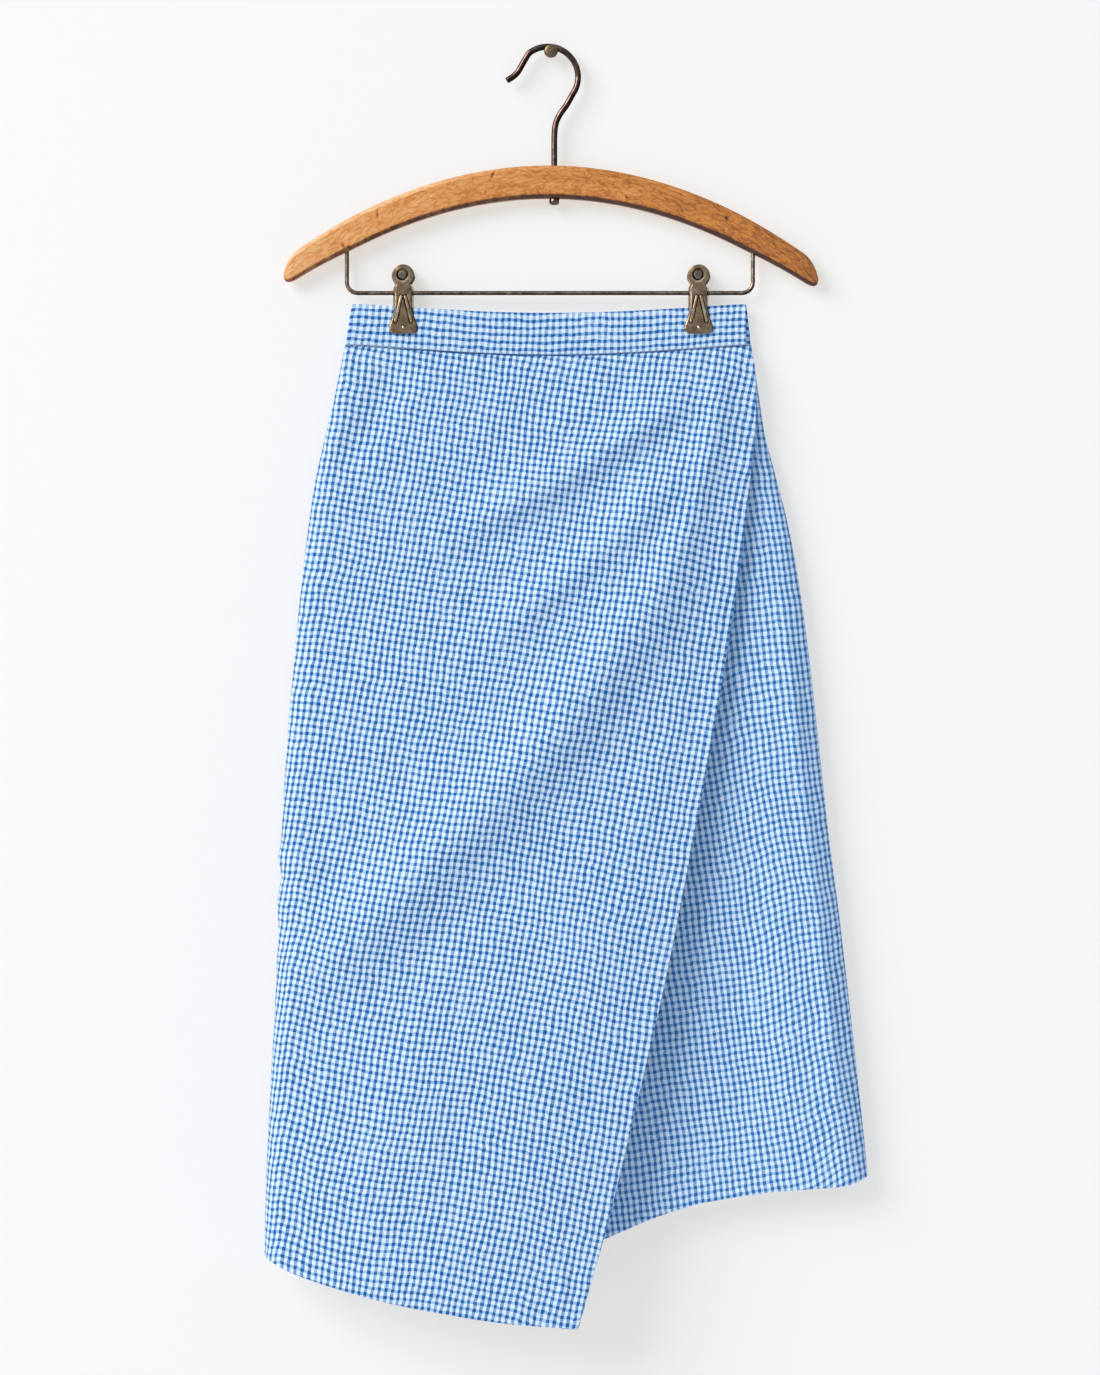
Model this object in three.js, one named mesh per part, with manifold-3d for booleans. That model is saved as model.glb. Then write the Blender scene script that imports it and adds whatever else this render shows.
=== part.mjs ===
// A wrap skirt hanging by two clips from a wooden hanger, on a pin in a wall.
// Millimetres, +Z up, the front faces -Y. The origin is where the hook's crown bears on the pin.
import * as THREE from 'three';
import { mergeVertices } from 'three/addons/utils/BufferGeometryUtils.js';
import Module from 'manifold-3d';

const wasm = await Module();
wasm.setup();

// Driving dimensions
const SEAM_GAP = 0.3;          // between neighbouring pieces

const CLOTH = 1.2;             // wall of a skirt panel
const BAND_CLOTH = 1.5;        // wall of the waistband, which is folded double
const BAND_LEFT_TOP = -163.6;  // side ends of the band along its top edge
const BAND_RIGHT_TOP = 160.3;
const BAND_LEFT_FOOT = -168.5; // and along its lower seam
const BAND_RIGHT_FOOT = 164;
const BAND_TOP_Z = -208.4;     // top edge at the sides
const BAND_FOOT_Z = -241.6;    // lower seam at the sides
const BAND_TOP_SAG = 7.3;      // the band sags between the clips
const BAND_FOOT_SAG = 8.3;
const WRAP_END_X = 159.5;      // outer end of the band, at the right side
const UNDER_END_X = -150;      // its inner end, hidden at the left
const BAND_FACE = 2.75;        // outer faces of the wrapped band, before and behind the bar
const UNDER_FACE_Y = -0.95;    // outer face of the layer under the wrap

const HOOK_WIRE = 5.1;         // diameters
const BAR_WIRE = 3.5;
const BAR_Z = -199.3;
const BAR_LEFT = -167.3;
const BAR_RIGHT = 165.6;
const BAR_BEND = 9;            // radius of its corners

const WOOD_LENGTH = 438;
const WOOD_HEIGHT = 26.6;
const WOOD_DEPTH = 12;
const WOOD_CROWN_Z = -95.2;    // top of the arch
const WOOD_DROP = 0.001622;    // drop in mm for each mm squared from the middle
const WOOD_TILT = 0.0075;      // the right end hangs a little lower
const WOOD_EDGE = 2.6;         // rounding of its long edges

const SHANK_X = 2.8;           // the hook's straight shank
const SHANK_FOOT_Z = -126;
const CROWN_RADIUS = 24.8;     // centre line of the hook's round part
const CROWN_X = -2.5;
const CROWN_Z = -22.1;

const PIN_HEAD = 5.7;          // radii
const PIN_SHANK = 1.1;
const PIN_POINT_Y = 16;        // the pin's point, inside the wall

const CLIP_X = { left: -121, right: 121 };
const CLIP_TOP_Z = -176.6;
const CLIP_FOOT_Z = -232;
const CLIP_SHEET = 1;          // thickness of the pressed metal
const CLIP_GRIP = BAND_FACE + SEAM_GAP + CLIP_SHEET; // outer face of a jaw where it grips the band

// Levels of the skirt, from the waist seam down. left and right are the side edges, seamLeft and
// seamRight their depths, over, under and back the outer faces of the three panels, corner the width
// over which the back rounds away to a side, and turn the narrower width of the outer front's left side.
const LEVELS = [
  {
    z: -241, left: -168.5, right: 164, seamLeft: 0, seamRight: 0.9,
    over: -2.6, under: -0.8, back: 2.6, corner: 2.6, turn: 2.6,
  },
  {
    z: -279, left: -176.3, right: 169.7, seamLeft: -1.5, seamRight: 0,
    over: -8.5, under: -3.6, back: 4, corner: 8, turn: 8,
  },
  {
    z: -316, left: -184.5, right: 175.5, seamLeft: -3, seamRight: -1,
    over: -13.5, under: -6.5, back: 5, corner: 15, turn: 13,
  },
  {
    z: -353, left: -193, right: 185, seamLeft: -5, seamRight: -2,
    over: -17.5, under: -8.5, back: 5.5, corner: 21, turn: 16,
  },
  {
    z: -390, left: -199.3, right: 194.3, seamLeft: -7, seamRight: -2.5,
    over: -20.5, under: -10, back: 6, corner: 26, turn: 18,
  },
  {
    z: -439, left: -205, right: 203.4, seamLeft: -9.5, seamRight: -3,
    over: -24, under: -11.5, back: 6, corner: 30, turn: 18,
  },
  {
    z: -500, left: -210.7, right: 211.6, seamLeft: -12, seamRight: -3.5,
    over: -29, under: -13, back: 6, corner: 33, turn: 17,
  },
  {
    z: -574, left: -217.3, right: 219.8, seamLeft: -15, seamRight: -4,
    over: -34, under: -14, back: 6, corner: 35, turn: 16,
  },
  {
    z: -648, left: -222.2, right: 228, seamLeft: -18, seamRight: -4.5,
    over: -39.5, under: -15, back: 6, corner: 36, turn: 15,
  },
  {
    z: -697, left: -224, right: 234.5, seamLeft: -19.5, seamRight: -5,
    over: -43, under: -15.5, back: 6, corner: 36, turn: 14,
  },
  {
    z: -783, left: -227.1, right: 244.4, seamLeft: -21.5, seamRight: -5.5,
    over: -48.5, under: -16, back: 6, corner: 36, turn: 14,
  },
  {
    z: -857, left: -231, right: 252.6, seamLeft: -23, seamRight: -6,
    over: -53, under: -17, back: 6, corner: 36, turn: 14,
  },
  {
    z: -925, left: -234, right: 259.3, seamLeft: -24, seamRight: -6.5,
    over: -56.5, under: -18, back: 6, corner: 36, turn: 14,
  },
  {
    z: -985, left: -235.3, right: 263, seamLeft: -25, seamRight: -7,
    over: -59, under: -18, back: 6, corner: 36, turn: 14,
  },
  {
    z: -1050, left: -236, right: 267, seamLeft: -25, seamRight: -7,
    over: -61, under: -18, back: 6, corner: 36, turn: 14,
  },
];
const RIGHT_CORNER_SHARE = 0.6; // the right side rounds away over less width
const GRADUAL_WIDTH = 210;      // the outer front goes on coming forward this far from its left side
const GRADUAL_SHARE = 0.55;     // and this share of its depth is gained that slowly, from the hips down

// The free edge of the outer panel, and of the inner one behind it
const WRAP_EDGE = [
  { z: -241, x: 163.2 }, { z: -259, x: 166.3 }, { z: -284, x: 167.1 }, { z: -311, x: 166.4 },
  { z: -359, x: 161.2 }, { z: -407, x: 156.3 }, { z: -447, x: 150.2 }, { z: -486, x: 144 },
  { z: -534, x: 135.8 }, { z: -613, x: 121.5 }, { z: -692, x: 105.7 }, { z: -767, x: 90.3 },
  { z: -821, x: 77.6 }, { z: -891, x: 60.8 }, { z: -965, x: 43.2 }, { z: -1043, x: 21.5 },
];
const UNDER_EDGE = [
  { z: -241, x: -157 }, { z: -359, x: -149 }, { z: -534, x: -120 }, { z: -692, x: -86 },
  { z: -821, x: -52 }, { z: -986, x: 3 },
];

// Hems, from left to right
const OVER_HEM = [
  { x: -235.3, z: -985 }, { x: -226, z: -991.5 }, { x: -212, z: -998.4 }, { x: -186, z: -1007 },
  { x: -136, z: -1023 }, { x: -85, z: -1033.4 }, { x: -35, z: -1039.8 }, { x: 21.5, z: -1044 },
];
const UNDER_HEM = [
  { x: 3, z: -985.5 }, { x: 42.4, z: -973.7 }, { x: 83.5, z: -957.4 }, { x: 108.4, z: -948.7 },
  { x: 133.4, z: -941.9 }, { x: 183.4, z: -933.9 }, { x: 211, z: -931.5 }, { x: 241.2, z: -928.5 },
  { x: 259.3, z: -922 },
];
const BACK_HEM = [
  { x: -235.3, z: -985 }, { x: -80, z: -974 }, { x: 90, z: -951 }, { x: 259.3, z: -922 },
];

// Largest folds. Each follows a line of points from right to left; height is how far it stands out,
// above and below how far it reaches on each side of its line.
const OVER_FOLDS = [
  {
    height: 12, above: 29, below: 29,
    line: [[124, -364], [80, -457], [25, -533], [-56, -623], [-98, -660], [-138, -700], [-192, -744]],
  },
  {
    height: 7.4, above: 20, below: 14,
    line: [[126, -278], [82, -304], [38, -332], [-2, -359], [-38, -377], [-76, -393]],
  },
  {
    height: 7.4, above: 18, below: 17,
    line: [[122, -330], [82, -371], [46, -407], [14, -434], [-22, -460], [-56, -482]],
  },
  { height: -2.8, above: 12, below: 14, line: [[-124, -250], [-138, -282], [-154, -315], [-176, -352]] },
  { height: 4, above: 13, below: 12, line: [[141, -256], [134, -298], [126, -345], [110, -396], [92, -432]] },
  { height: 2, above: 34, below: 44, line: [[64, -640], [24, -760], [-6, -880], [-18, -990]] },
  { height: 2.2, above: 34, below: 40, line: [[-80, -790], [-120, -870], [-150, -960]] },
  { height: 3.5, above: 12, below: 8, line: [[-221, -650], [-205, -662], [-182, -674]] },
];
const UNDER_FOLDS = [
  { height: 0.8, above: 16, below: 16, line: [[172, -520], [184, -700], [192, -880]] },
  { height: 0.8, above: 18, below: 18, line: [[140, -620], [130, -780], [128, -900]] },
  { height: 6.5, above: 62, below: 40, line: [[186, -440], [206, -600], [224, -760], [238, -900]] },
];
const BACK_FOLDS = [
  { height: -4, above: 24, below: 24, line: [[-118, -300], [-90, -480], [-60, -700], [-50, -940]] },
  { height: -3.5, above: 20, below: 20, line: [[112, -300], [60, -430], [0, -560], [-70, -680]] },
  { height: -4, above: 26, below: 26, line: [[100, -480], [110, -700], [130, -900]] },
];

// Mesh sizes
const PANEL_ROWS = 32;
const OVER_COLUMNS = 30;
const UNDER_COLUMNS = 12;
const BACK_COLUMNS = 20;
const CORNER_STEPS = 5;

// Curves and grids

/** Smooth value of a column of a table at a place, by cubic interpolation between its rows. */
function along(table, key, place, column) {
  const last = table.length - 1;
  const rising = table[last][key] > table[0][key];
  const before = (row) => (rising ? row[key] <= place : row[key] >= place);
  let i = table.filter(before).length - 1;
  i = Math.min(Math.max(i, 0), last - 1);
  const [low, high] = [table[i], table[i + 1]];
  const span = high[key] - low[key];
  const slope = (a, b) => (table[b][column] - table[a][column]) / (table[b][key] - table[a][key]);
  const startSlope = slope(Math.max(i - 1, 0), i + 1);
  const endSlope = slope(i, Math.min(i + 2, last));
  const t = Math.min(Math.max((place - low[key]) / span, 0), 1);
  const rest = 1 - t;
  return low[column] * rest * rest * (1 + 2 * t) + high[column] * t * t * (3 - 2 * t)
    + span * (startSlope * t * rest * rest - endSlope * t * t * rest);
}

/** 0 below the first value, 1 above the second, smooth between. */
function ease(value, from, to) {
  return THREE.MathUtils.smoothstep(value, from, to);
}

/** Points and lengths of a fold's smooth centre line, worked out once. */
function prepareFold(fold) {
  const corners = fold.line.map(([x, z]) => new THREE.Vector3(x, 0, z));
  return { ...fold, points: new THREE.CatmullRomCurve3(corners).getPoints(20) };
}

/** How far the folds lift the cloth at a place: each is a bell across its line, fading at its ends. */
function lift(folds, x, z) {
  let total = 0;
  for (const fold of folds) {
    const distances = fold.points.map((point) => Math.hypot(point.x - x, point.z - z));
    const distance = Math.min(...distances);
    const nearest = distances.indexOf(distance);
    const last = fold.points.length - 1;
    const [from, to] = [Math.max(nearest - 1, 0), Math.min(nearest + 1, last)].map((i) => fold.points[i]);
    const side = (to.x - from.x) * (z - from.z) - (to.z - from.z) * (x - from.x);
    const reach = side > 0 ? fold.below : fold.above;
    const share = nearest / last;
    const fade = ease(share, -0.1, 0.25) * (1 - ease(share, 0.75, 1.1));
    total += fold.height * fade * Math.exp(-((distance / reach) ** 2));
  }
  return total;
}

/** Closed mesh geometry from a list of points and a list of triangles. */
function closedGeometry(points, triangles) {
  const geometry = new THREE.BufferGeometry();
  geometry.setAttribute('position', new THREE.Float32BufferAttribute(points.flatMap((p) => p.toArray()), 3));
  geometry.setIndex(triangles.flat());
  return geometry;
}

/** A wall of cloth: the grid's points are its outer face, and the inner face is moved in by its
 *  thickness along the grid's own normals. facing is 1 or -1, the side on which the outer face lies.
 *  On the columns of a side seam the wall is moved straight across, so the two panels stay apart. */
function clothWall(grid, thickness, facing, seamColumns = []) {
  const rows = grid.length;
  const columns = grid[0].length;
  const outer = grid.flat();
  const inner = [];
  for (let j = 0; j < rows; j += 1) {
    for (let i = 0; i < columns; i += 1) {
      const acrossStep = grid[j][Math.min(i + 1, columns - 1)].clone().sub(grid[j][Math.max(i - 1, 0)]);
      const downStep = grid[Math.min(j + 1, rows - 1)][i].clone().sub(grid[Math.max(j - 1, 0)][i]);
      const normal = downStep.cross(acrossStep).multiplyScalar(facing);
      if (seamColumns.includes(i)) {
        normal.y = 0;
      }
      normal.normalize();
      inner.push(grid[j][i].clone().addScaledVector(normal, -thickness));
    }
  }
  const count = rows * columns;
  const triangles = [];
  const addQuad = (a, b, c, d) => {
    const quad = facing > 0 ? [a, b, c, d] : [d, c, b, a];
    triangles.push([quad[0], quad[1], quad[2]], [quad[0], quad[2], quad[3]]);
  };
  for (let j = 0; j < rows - 1; j += 1) {
    for (let i = 0; i < columns - 1; i += 1) {
      const a = j * columns + i;
      addQuad(a, a + columns, a + columns + 1, a + 1);
      addQuad(count + a, count + a + 1, count + a + columns + 1, count + a + columns);
    }
  }
  for (let i = 0; i < columns - 1; i += 1) {
    const foot = (rows - 1) * columns + i;
    addQuad(i + 1, count + i + 1, count + i, i);
    addQuad(foot, count + foot, count + foot + 1, foot + 1);
  }
  for (let j = 0; j < rows - 1; j += 1) {
    const start = j * columns;
    const end = start + columns - 1;
    addQuad(start, count + start, count + start + columns, start + columns);
    addQuad(end + columns, count + end + columns, count + end, end);
  }
  return closedGeometry([...outer, ...inner], triangles);
}

/** Solid with only merged positions, which a boolean needs. */
function toSolid(geometry) {
  const plain = geometry.clone();
  plain.deleteAttribute('normal');
  plain.deleteAttribute('uv');
  const merged = mergeVertices(plain, 1e-4);
  return new wasm.Manifold(new wasm.Mesh({
    numProp: 3,
    vertProperties: new Float32Array(merged.attributes.position.array),
    triVerts: new Uint32Array(merged.index.array),
  }));
}

function toGeometry(solid) {
  const mesh = solid.getMesh();
  const geometry = new THREE.BufferGeometry();
  geometry.setAttribute('position', new THREE.Float32BufferAttribute(mesh.vertProperties, 3));
  geometry.setIndex([...mesh.triVerts]);
  return geometry;
}

const parts = new THREE.Group();
parts.name = 'wrap_skirt_on_clip_hanger';

function addPart(name, geometry, material) {
  const mesh = new THREE.Mesh(geometry, material);
  mesh.name = name;
  parts.add(mesh);
  return mesh;
}

const finish = (color, roughness, metalness) => new THREE.MeshStandardMaterial({ color, roughness, metalness });
const gingham = () => finish(0x99b9dd, 0.85, 0);
const stainedWood = () => finish(0xca844a, 0.45, 0);
const brownedBrass = () => finish(0x8b7660, 0.4, 0.9);
const hookSteel = () => finish(0x6c5c54, 0.35, 0.95);

// The waistband's strip

/** Height of the band's top edge (share 0) or lower seam (share 1) at a place across it. */
function bandHeight(x, share) {
  const half = (BAND_RIGHT_FOOT - BAND_LEFT_FOOT) / 2;
  const side = Math.min(Math.abs(x) / half, 1);
  const sag = (1 - side * side) ** 1.5;
  const top = BAND_TOP_Z - BAND_TOP_SAG * sag;
  const foot = BAND_FOOT_Z - BAND_FOOT_SAG * sag;
  return THREE.MathUtils.lerp(top, foot, share);
}

/** Outer face of the band's strip in plan at one level: front, left turn, back, right turn, under. */
function bandPlan(left, right) {
  const face = BAND_FACE;
  const rightTurn = (face - UNDER_FACE_Y) / 2;
  const plan = [];
  const straight = (from, to, y, steps, first) => {
    for (let i = first; i <= steps; i += 1) {
      plan.push([THREE.MathUtils.lerp(from, to, i / steps), y]);
    }
  };
  const turn = (x, y, radius, from) => {
    for (let i = 1; i <= 6; i += 1) {
      const angle = from - (i / 6) * Math.PI;
      plan.push([x + radius * Math.cos(angle), y + radius * Math.sin(angle)]);
    }
  };
  straight(WRAP_END_X, left + face, -face, 16, 0);
  turn(left + face, 0, face, -Math.PI / 2);
  straight(left + face, right - rightTurn, face, 16, 1);
  turn(right - rightTurn, face - rightTurn, rightTurn, Math.PI / 2);
  straight(right - rightTurn, UNDER_END_X, UNDER_FACE_Y, 14, 1);
  return plan;
}

function makeWaistband() {
  const grid = [0, 0.5, 1].map((share) => {
    const left = THREE.MathUtils.lerp(BAND_LEFT_TOP, BAND_LEFT_FOOT, share);
    const right = THREE.MathUtils.lerp(BAND_RIGHT_TOP, BAND_RIGHT_FOOT, share);
    return bandPlan(left, right).map(([x, y]) => new THREE.Vector3(x, y, bandHeight(x, share)));
  });
  return clothWall(grid, BAND_CLOTH, -1);
}

// The skirt's panels

const levelAt = (z, column) => along(LEVELS, 'z', z, column);
const rightCorner = (z) => levelAt(z, 'corner') * RIGHT_CORNER_SHARE;
const gradualShare = (z) => GRADUAL_SHARE * ease(-z, 290, 470);
const seamTop = (x) => bandHeight(x, 1) - SEAM_GAP;

/** Shares of the width at which the columns of a panel lie, closer together round a side corner. */
function roundedPlace(index, columns, corner, width) {
  if (index <= CORNER_STEPS) {
    return corner * (1 - Math.cos((index / CORNER_STEPS) * Math.PI / 2));
  }
  return corner + (width - corner) * (index - CORNER_STEPS) / (columns - CORNER_STEPS);
}

/** Depth at a distance from a side edge: a quarter of an ellipse over the corner, then flat. The
 *  gradual share of it is a parabola over a much greater width instead. */
function roundedDepth(distance, corner, seam, face, gradual = 0) {
  const rest = Math.max(1 - distance / corner, 0);
  const slowRest = Math.max(1 - distance / GRADUAL_WIDTH, 0);
  const share = (1 - gradual) * Math.sqrt(1 - rest * rest) + gradual * (1 - slowRest * slowRest);
  return seam + (face - seam) * share;
}

/** Folds die away at the waist seam and where a side rounds away. */
function foldShare(distance, corner, z) {
  return ease(BAND_FOOT_Z - 6 - z, 0, 30) * ease(distance / corner, 0.25, 1);
}

/** Height of a point of a panel: between the waist seam and the hem, where its column meets them.
 *  startX and endX are the side edge and the free edge, at the waist and at the hem. */
function columnHeight(index, columns, down, waist, hem, hemTable) {
  const place = ({ startX, endX, corner }) => {
    const width = Math.abs(endX - startX);
    return startX + Math.sign(endX - startX) * roundedPlace(index, columns, corner, width);
  };
  return THREE.MathUtils.lerp(seamTop(place(waist)), along(hemTable, 'x', place(hem), 'z'), down);
}

function overPoint(index, down) {
  const waist = { startX: BAND_LEFT_FOOT, endX: WRAP_EDGE[0].x, corner: LEVELS[0].turn };
  const hem = { startX: OVER_HEM[0].x, endX: OVER_HEM.at(-1).x, corner: levelAt(OVER_HEM[0].z, 'turn') };
  const z = columnHeight(index, OVER_COLUMNS, down, waist, hem, OVER_HEM);
  const left = levelAt(z, 'left');
  const corner = levelAt(z, 'turn');
  const width = along(WRAP_EDGE, 'z', z, 'x') - left;
  const distance = roundedPlace(index, OVER_COLUMNS, corner, width);
  const x = left + distance;
  const y = roundedDepth(distance, corner, levelAt(z, 'seamLeft'), levelAt(z, 'over'), gradualShare(z));
  return new THREE.Vector3(x, y - lift(OVER_LINES, x, z) * foldShare(distance, corner, z), z);
}

function underPoint(index, down) {
  const waist = { startX: BAND_RIGHT_FOOT, endX: UNDER_EDGE[0].x, corner: rightCorner(LEVELS[0].z) };
  const hemEnd = UNDER_HEM.at(-1);
  const hem = { startX: hemEnd.x, endX: UNDER_HEM[0].x, corner: rightCorner(hemEnd.z) };
  const z = columnHeight(index, UNDER_COLUMNS, down, waist, hem, UNDER_HEM);
  const right = levelAt(z, 'right');
  const corner = rightCorner(z);
  const width = right - along(UNDER_EDGE, 'z', z, 'x');
  const distance = roundedPlace(index, UNDER_COLUMNS, corner, width);
  const x = right - distance;
  const y = roundedDepth(distance, corner, levelAt(z, 'seamRight'), levelAt(z, 'under'));
  return new THREE.Vector3(x, y - lift(UNDER_LINES, x, z) * foldShare(distance, corner, z), z);
}

function backPoint(index, down) {
  const fromLeft = index <= BACK_COLUMNS / 2;
  const side = Math.min(index, BACK_COLUMNS - index);
  const sideEdge = (left, right, corner) => ({
    startX: fromLeft ? left : right,
    endX: (left + right) / 2,
    corner,
  });
  const [hemLeft, hemRight] = [BACK_HEM[0], BACK_HEM.at(-1)];
  const waist = sideEdge(BAND_LEFT_FOOT, BAND_RIGHT_FOOT, LEVELS[0].corner);
  const hem = sideEdge(hemLeft.x, hemRight.x, levelAt(hemLeft.z, 'corner'));
  const z = columnHeight(side, BACK_COLUMNS / 2, down, waist, hem, BACK_HEM);
  const [left, right, corner] = ['left', 'right', 'corner'].map((column) => levelAt(z, column));
  const distance = roundedPlace(side, BACK_COLUMNS / 2, corner, (right - left) / 2);
  const x = fromLeft ? left + distance : right - distance;
  const seam = levelAt(z, fromLeft ? 'seamLeft' : 'seamRight');
  const y = roundedDepth(distance, corner, seam, levelAt(z, 'back'));
  return new THREE.Vector3(x, y + lift(BACK_LINES, x, z) * foldShare(distance, corner, z), z);
}

/** Grid of a panel; its side seams are pulled apart by half the seam gap. */
function panelGrid(columns, pointAt, gapShift) {
  const grid = [];
  for (let j = 0; j <= PANEL_ROWS; j += 1) {
    const down = (j / PANEL_ROWS) ** 1.15;
    const row = [];
    for (let i = 0; i <= columns; i += 1) {
      row.push(pointAt(i, down).add(gapShift));
    }
    grid.push(row);
  }
  return grid;
}

const OVER_LINES = OVER_FOLDS.map(prepareFold);
const UNDER_LINES = UNDER_FOLDS.map(prepareFold);
const BACK_LINES = BACK_FOLDS.map(prepareFold);
const forward = new THREE.Vector3(0, -SEAM_GAP / 2, 0);
const backward = new THREE.Vector3(0, SEAM_GAP / 2, 0);

addPart('waistband', makeWaistband(), gingham());
addPart('front_overlap', clothWall(panelGrid(OVER_COLUMNS, overPoint, forward), CLOTH, 1, [0]), gingham());
addPart('front_under', clothWall(panelGrid(UNDER_COLUMNS, underPoint, forward), CLOTH, -1, [0]), gingham());
addPart('back_panel', clothWall(panelGrid(BACK_COLUMNS, backPoint, backward), CLOTH, -1, [0, BACK_COLUMNS]), gingham());

// The hanger

/** Geometry with its drawing turned upright: drawn up becomes +Z, and it is extruded along -Y. */
function upright(shape, depth, options) {
  const geometry = new THREE.ExtrudeGeometry(shape, { depth, bevelEnabled: false, curveSegments: 8, ...options });
  geometry.rotateX(Math.PI / 2);
  return geometry;
}

/** Round bar along Z, closed at both ends. */
function roundBar(radius, length, x, y, middleZ, sides) {
  const bar = new THREE.CylinderGeometry(radius, radius, length, sides);
  bar.rotateX(Math.PI / 2);
  bar.translate(x, y, middleZ);
  return bar;
}

/** Round bar across the hanger, along X. */
function crossBar(radius, length, x, z) {
  const bar = new THREE.CylinderGeometry(radius, radius, length, 12);
  bar.rotateZ(Math.PI / 2);
  bar.translate(x, 0, z);
  return bar;
}

/** Drop of the wood's arch below its crown. */
const archDrop = (x) => WOOD_DROP * x * x + WOOD_TILT * x;

function makeWood() {
  const end = WOOD_LENGTH / 2;
  const shoulder = end - 13;
  const outline = [];
  for (let i = 0; i <= 24; i += 1) {
    const x = THREE.MathUtils.lerp(-shoulder, shoulder, i / 24);
    outline.push([x, WOOD_CROWN_Z - archDrop(x)]);
  }
  const roundEnd = (side) => {
    const top = WOOD_CROWN_Z - archDrop(side * shoulder);
    return [[shoulder + 7, top - 4.2], [end - 1, top - 10.5], [end - 0.5, top - 16], [end - 4.5, top - 21.5]]
      .map(([x, z]) => [side * x, z]);
  };
  outline.push(...roundEnd(1));
  for (let i = 0; i <= 24; i += 1) {
    const x = THREE.MathUtils.lerp(shoulder, -shoulder, i / 24);
    const taper = 3 * ease(Math.abs(x), 150, shoulder);
    outline.push([x, WOOD_CROWN_Z - archDrop(x) - WOOD_HEIGHT + taper]);
  }
  outline.push(...roundEnd(-1).reverse());
  const shape = new THREE.Shape(outline.map(([x, z]) => new THREE.Vector2(x, z)));
  const body = upright(shape, WOOD_DEPTH - 2 * WOOD_EDGE, {
    bevelEnabled: true,
    bevelThickness: WOOD_EDGE,
    bevelSize: WOOD_EDGE,
    bevelOffset: -WOOD_EDGE,
    bevelSegments: 2,
  });
  body.translate(0, WOOD_DEPTH / 2 - WOOD_EDGE, 0);
  let solid = toSolid(body);
  const shankBore = roundBar(HOOK_WIRE / 2 + SEAM_GAP, 60, SHANK_X, 0, WOOD_CROWN_Z - 12, 16);
  solid = solid.subtract(toSolid(shankBore));
  for (const x of [BAR_LEFT, BAR_RIGHT]) {
    const legBore = roundBar(BAR_WIRE / 2 + SEAM_GAP, 40, x, 0, legTop(x) + SEAM_GAP - 20, 16);
    solid = solid.subtract(toSolid(legBore));
  }
  return toGeometry(solid);
}

/** Top of a leg of the bar, set into the wood from below. */
const legTop = (x) => WOOD_CROWN_Z - archDrop(x) - WOOD_HEIGHT + 12;

/** Round wire along a curve through the given points. */
function makeWire(points, radius, sides, steps) {
  const path = new THREE.CatmullRomCurve3(points, false, 'centripetal');
  const ring = new THREE.Shape();
  for (let i = 0; i < sides; i += 1) {
    const angle = (i / sides) * 2 * Math.PI;
    const corner = [radius * Math.cos(angle), radius * Math.sin(angle)];
    ring[i === 0 ? 'moveTo' : 'lineTo'](...corner);
  }
  ring.closePath();
  return new THREE.ExtrudeGeometry(ring, { steps, extrudePath: path, bevelEnabled: false });
}

/** Points on an arc in the hanger's plane, angles in degrees from +X towards +Z. */
function arc(x, z, radius, from, to, count) {
  return Array.from({ length: count + 1 }, (_, i) => {
    const angle = THREE.MathUtils.degToRad(THREE.MathUtils.lerp(from, to, i / count));
    return new THREE.Vector3(x + radius * Math.cos(angle), 0, z + radius * Math.sin(angle));
  });
}

const at = (x, z) => new THREE.Vector3(x, 0, z);

function makeHook() {
  return makeWire([
    at(-36.3, -25.2),
    at(-31.2, -21.9),
    at(-27.8, -18.8),
    at(-25.4, -15.2),
    at(-23.3, -11.4),
    at(-21.1, -7.6),
    ...arc(CROWN_X, CROWN_Z, CROWN_RADIUS, 128, -36, 12),
    at(12.6, -45.4),
    at(7.8, -52),
    at(4.5, -58.8),
    at(3.1, -66),
    at(SHANK_X, -76),
    at(SHANK_X, -95),
    at(SHANK_X, SHANK_FOOT_Z),
  ], HOOK_WIRE / 2, 8, 48);
}

function makeBar() {
  const [left, right] = [BAR_LEFT, BAR_RIGHT];
  const corner = BAR_Z + BAR_BEND;
  const stub = 3;                // keeps the straight stretches straight beside a bend
  return makeWire([
    at(left, legTop(left)),
    at(left, corner + stub),
    ...arc(left + BAR_BEND, corner, BAR_BEND, 180, 270, 4),
    at(left + BAR_BEND + stub, BAR_Z),
    at(0, BAR_Z),
    at(right - BAR_BEND - stub, BAR_Z),
    ...arc(right - BAR_BEND, corner, BAR_BEND, 270, 360, 4),
    at(right, corner + stub),
    at(right, legTop(right)),
  ], BAR_WIRE / 2, 8, 72);
}

/** Flat ring of metal swaged on the shank's end, under the wood. */
function makeNut() {
  const inner = HOOK_WIRE / 2 + SEAM_GAP;
  const outer = inner + 1.6;
  const profile = [[inner, 0], [outer - 0.5, 0], [outer, 0.6], [outer, 3.4], [outer - 0.8, 4.4], [inner, 4.4], [inner, 0]];
  const ring = new THREE.LatheGeometry(profile.map(([r, y]) => new THREE.Vector2(r, y)), 14);
  ring.rotateX(Math.PI / 2);
  ring.translate(SHANK_X, 0, WOOD_CROWN_Z - WOOD_HEIGHT - SEAM_GAP - 4.4);
  return ring;
}

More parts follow.
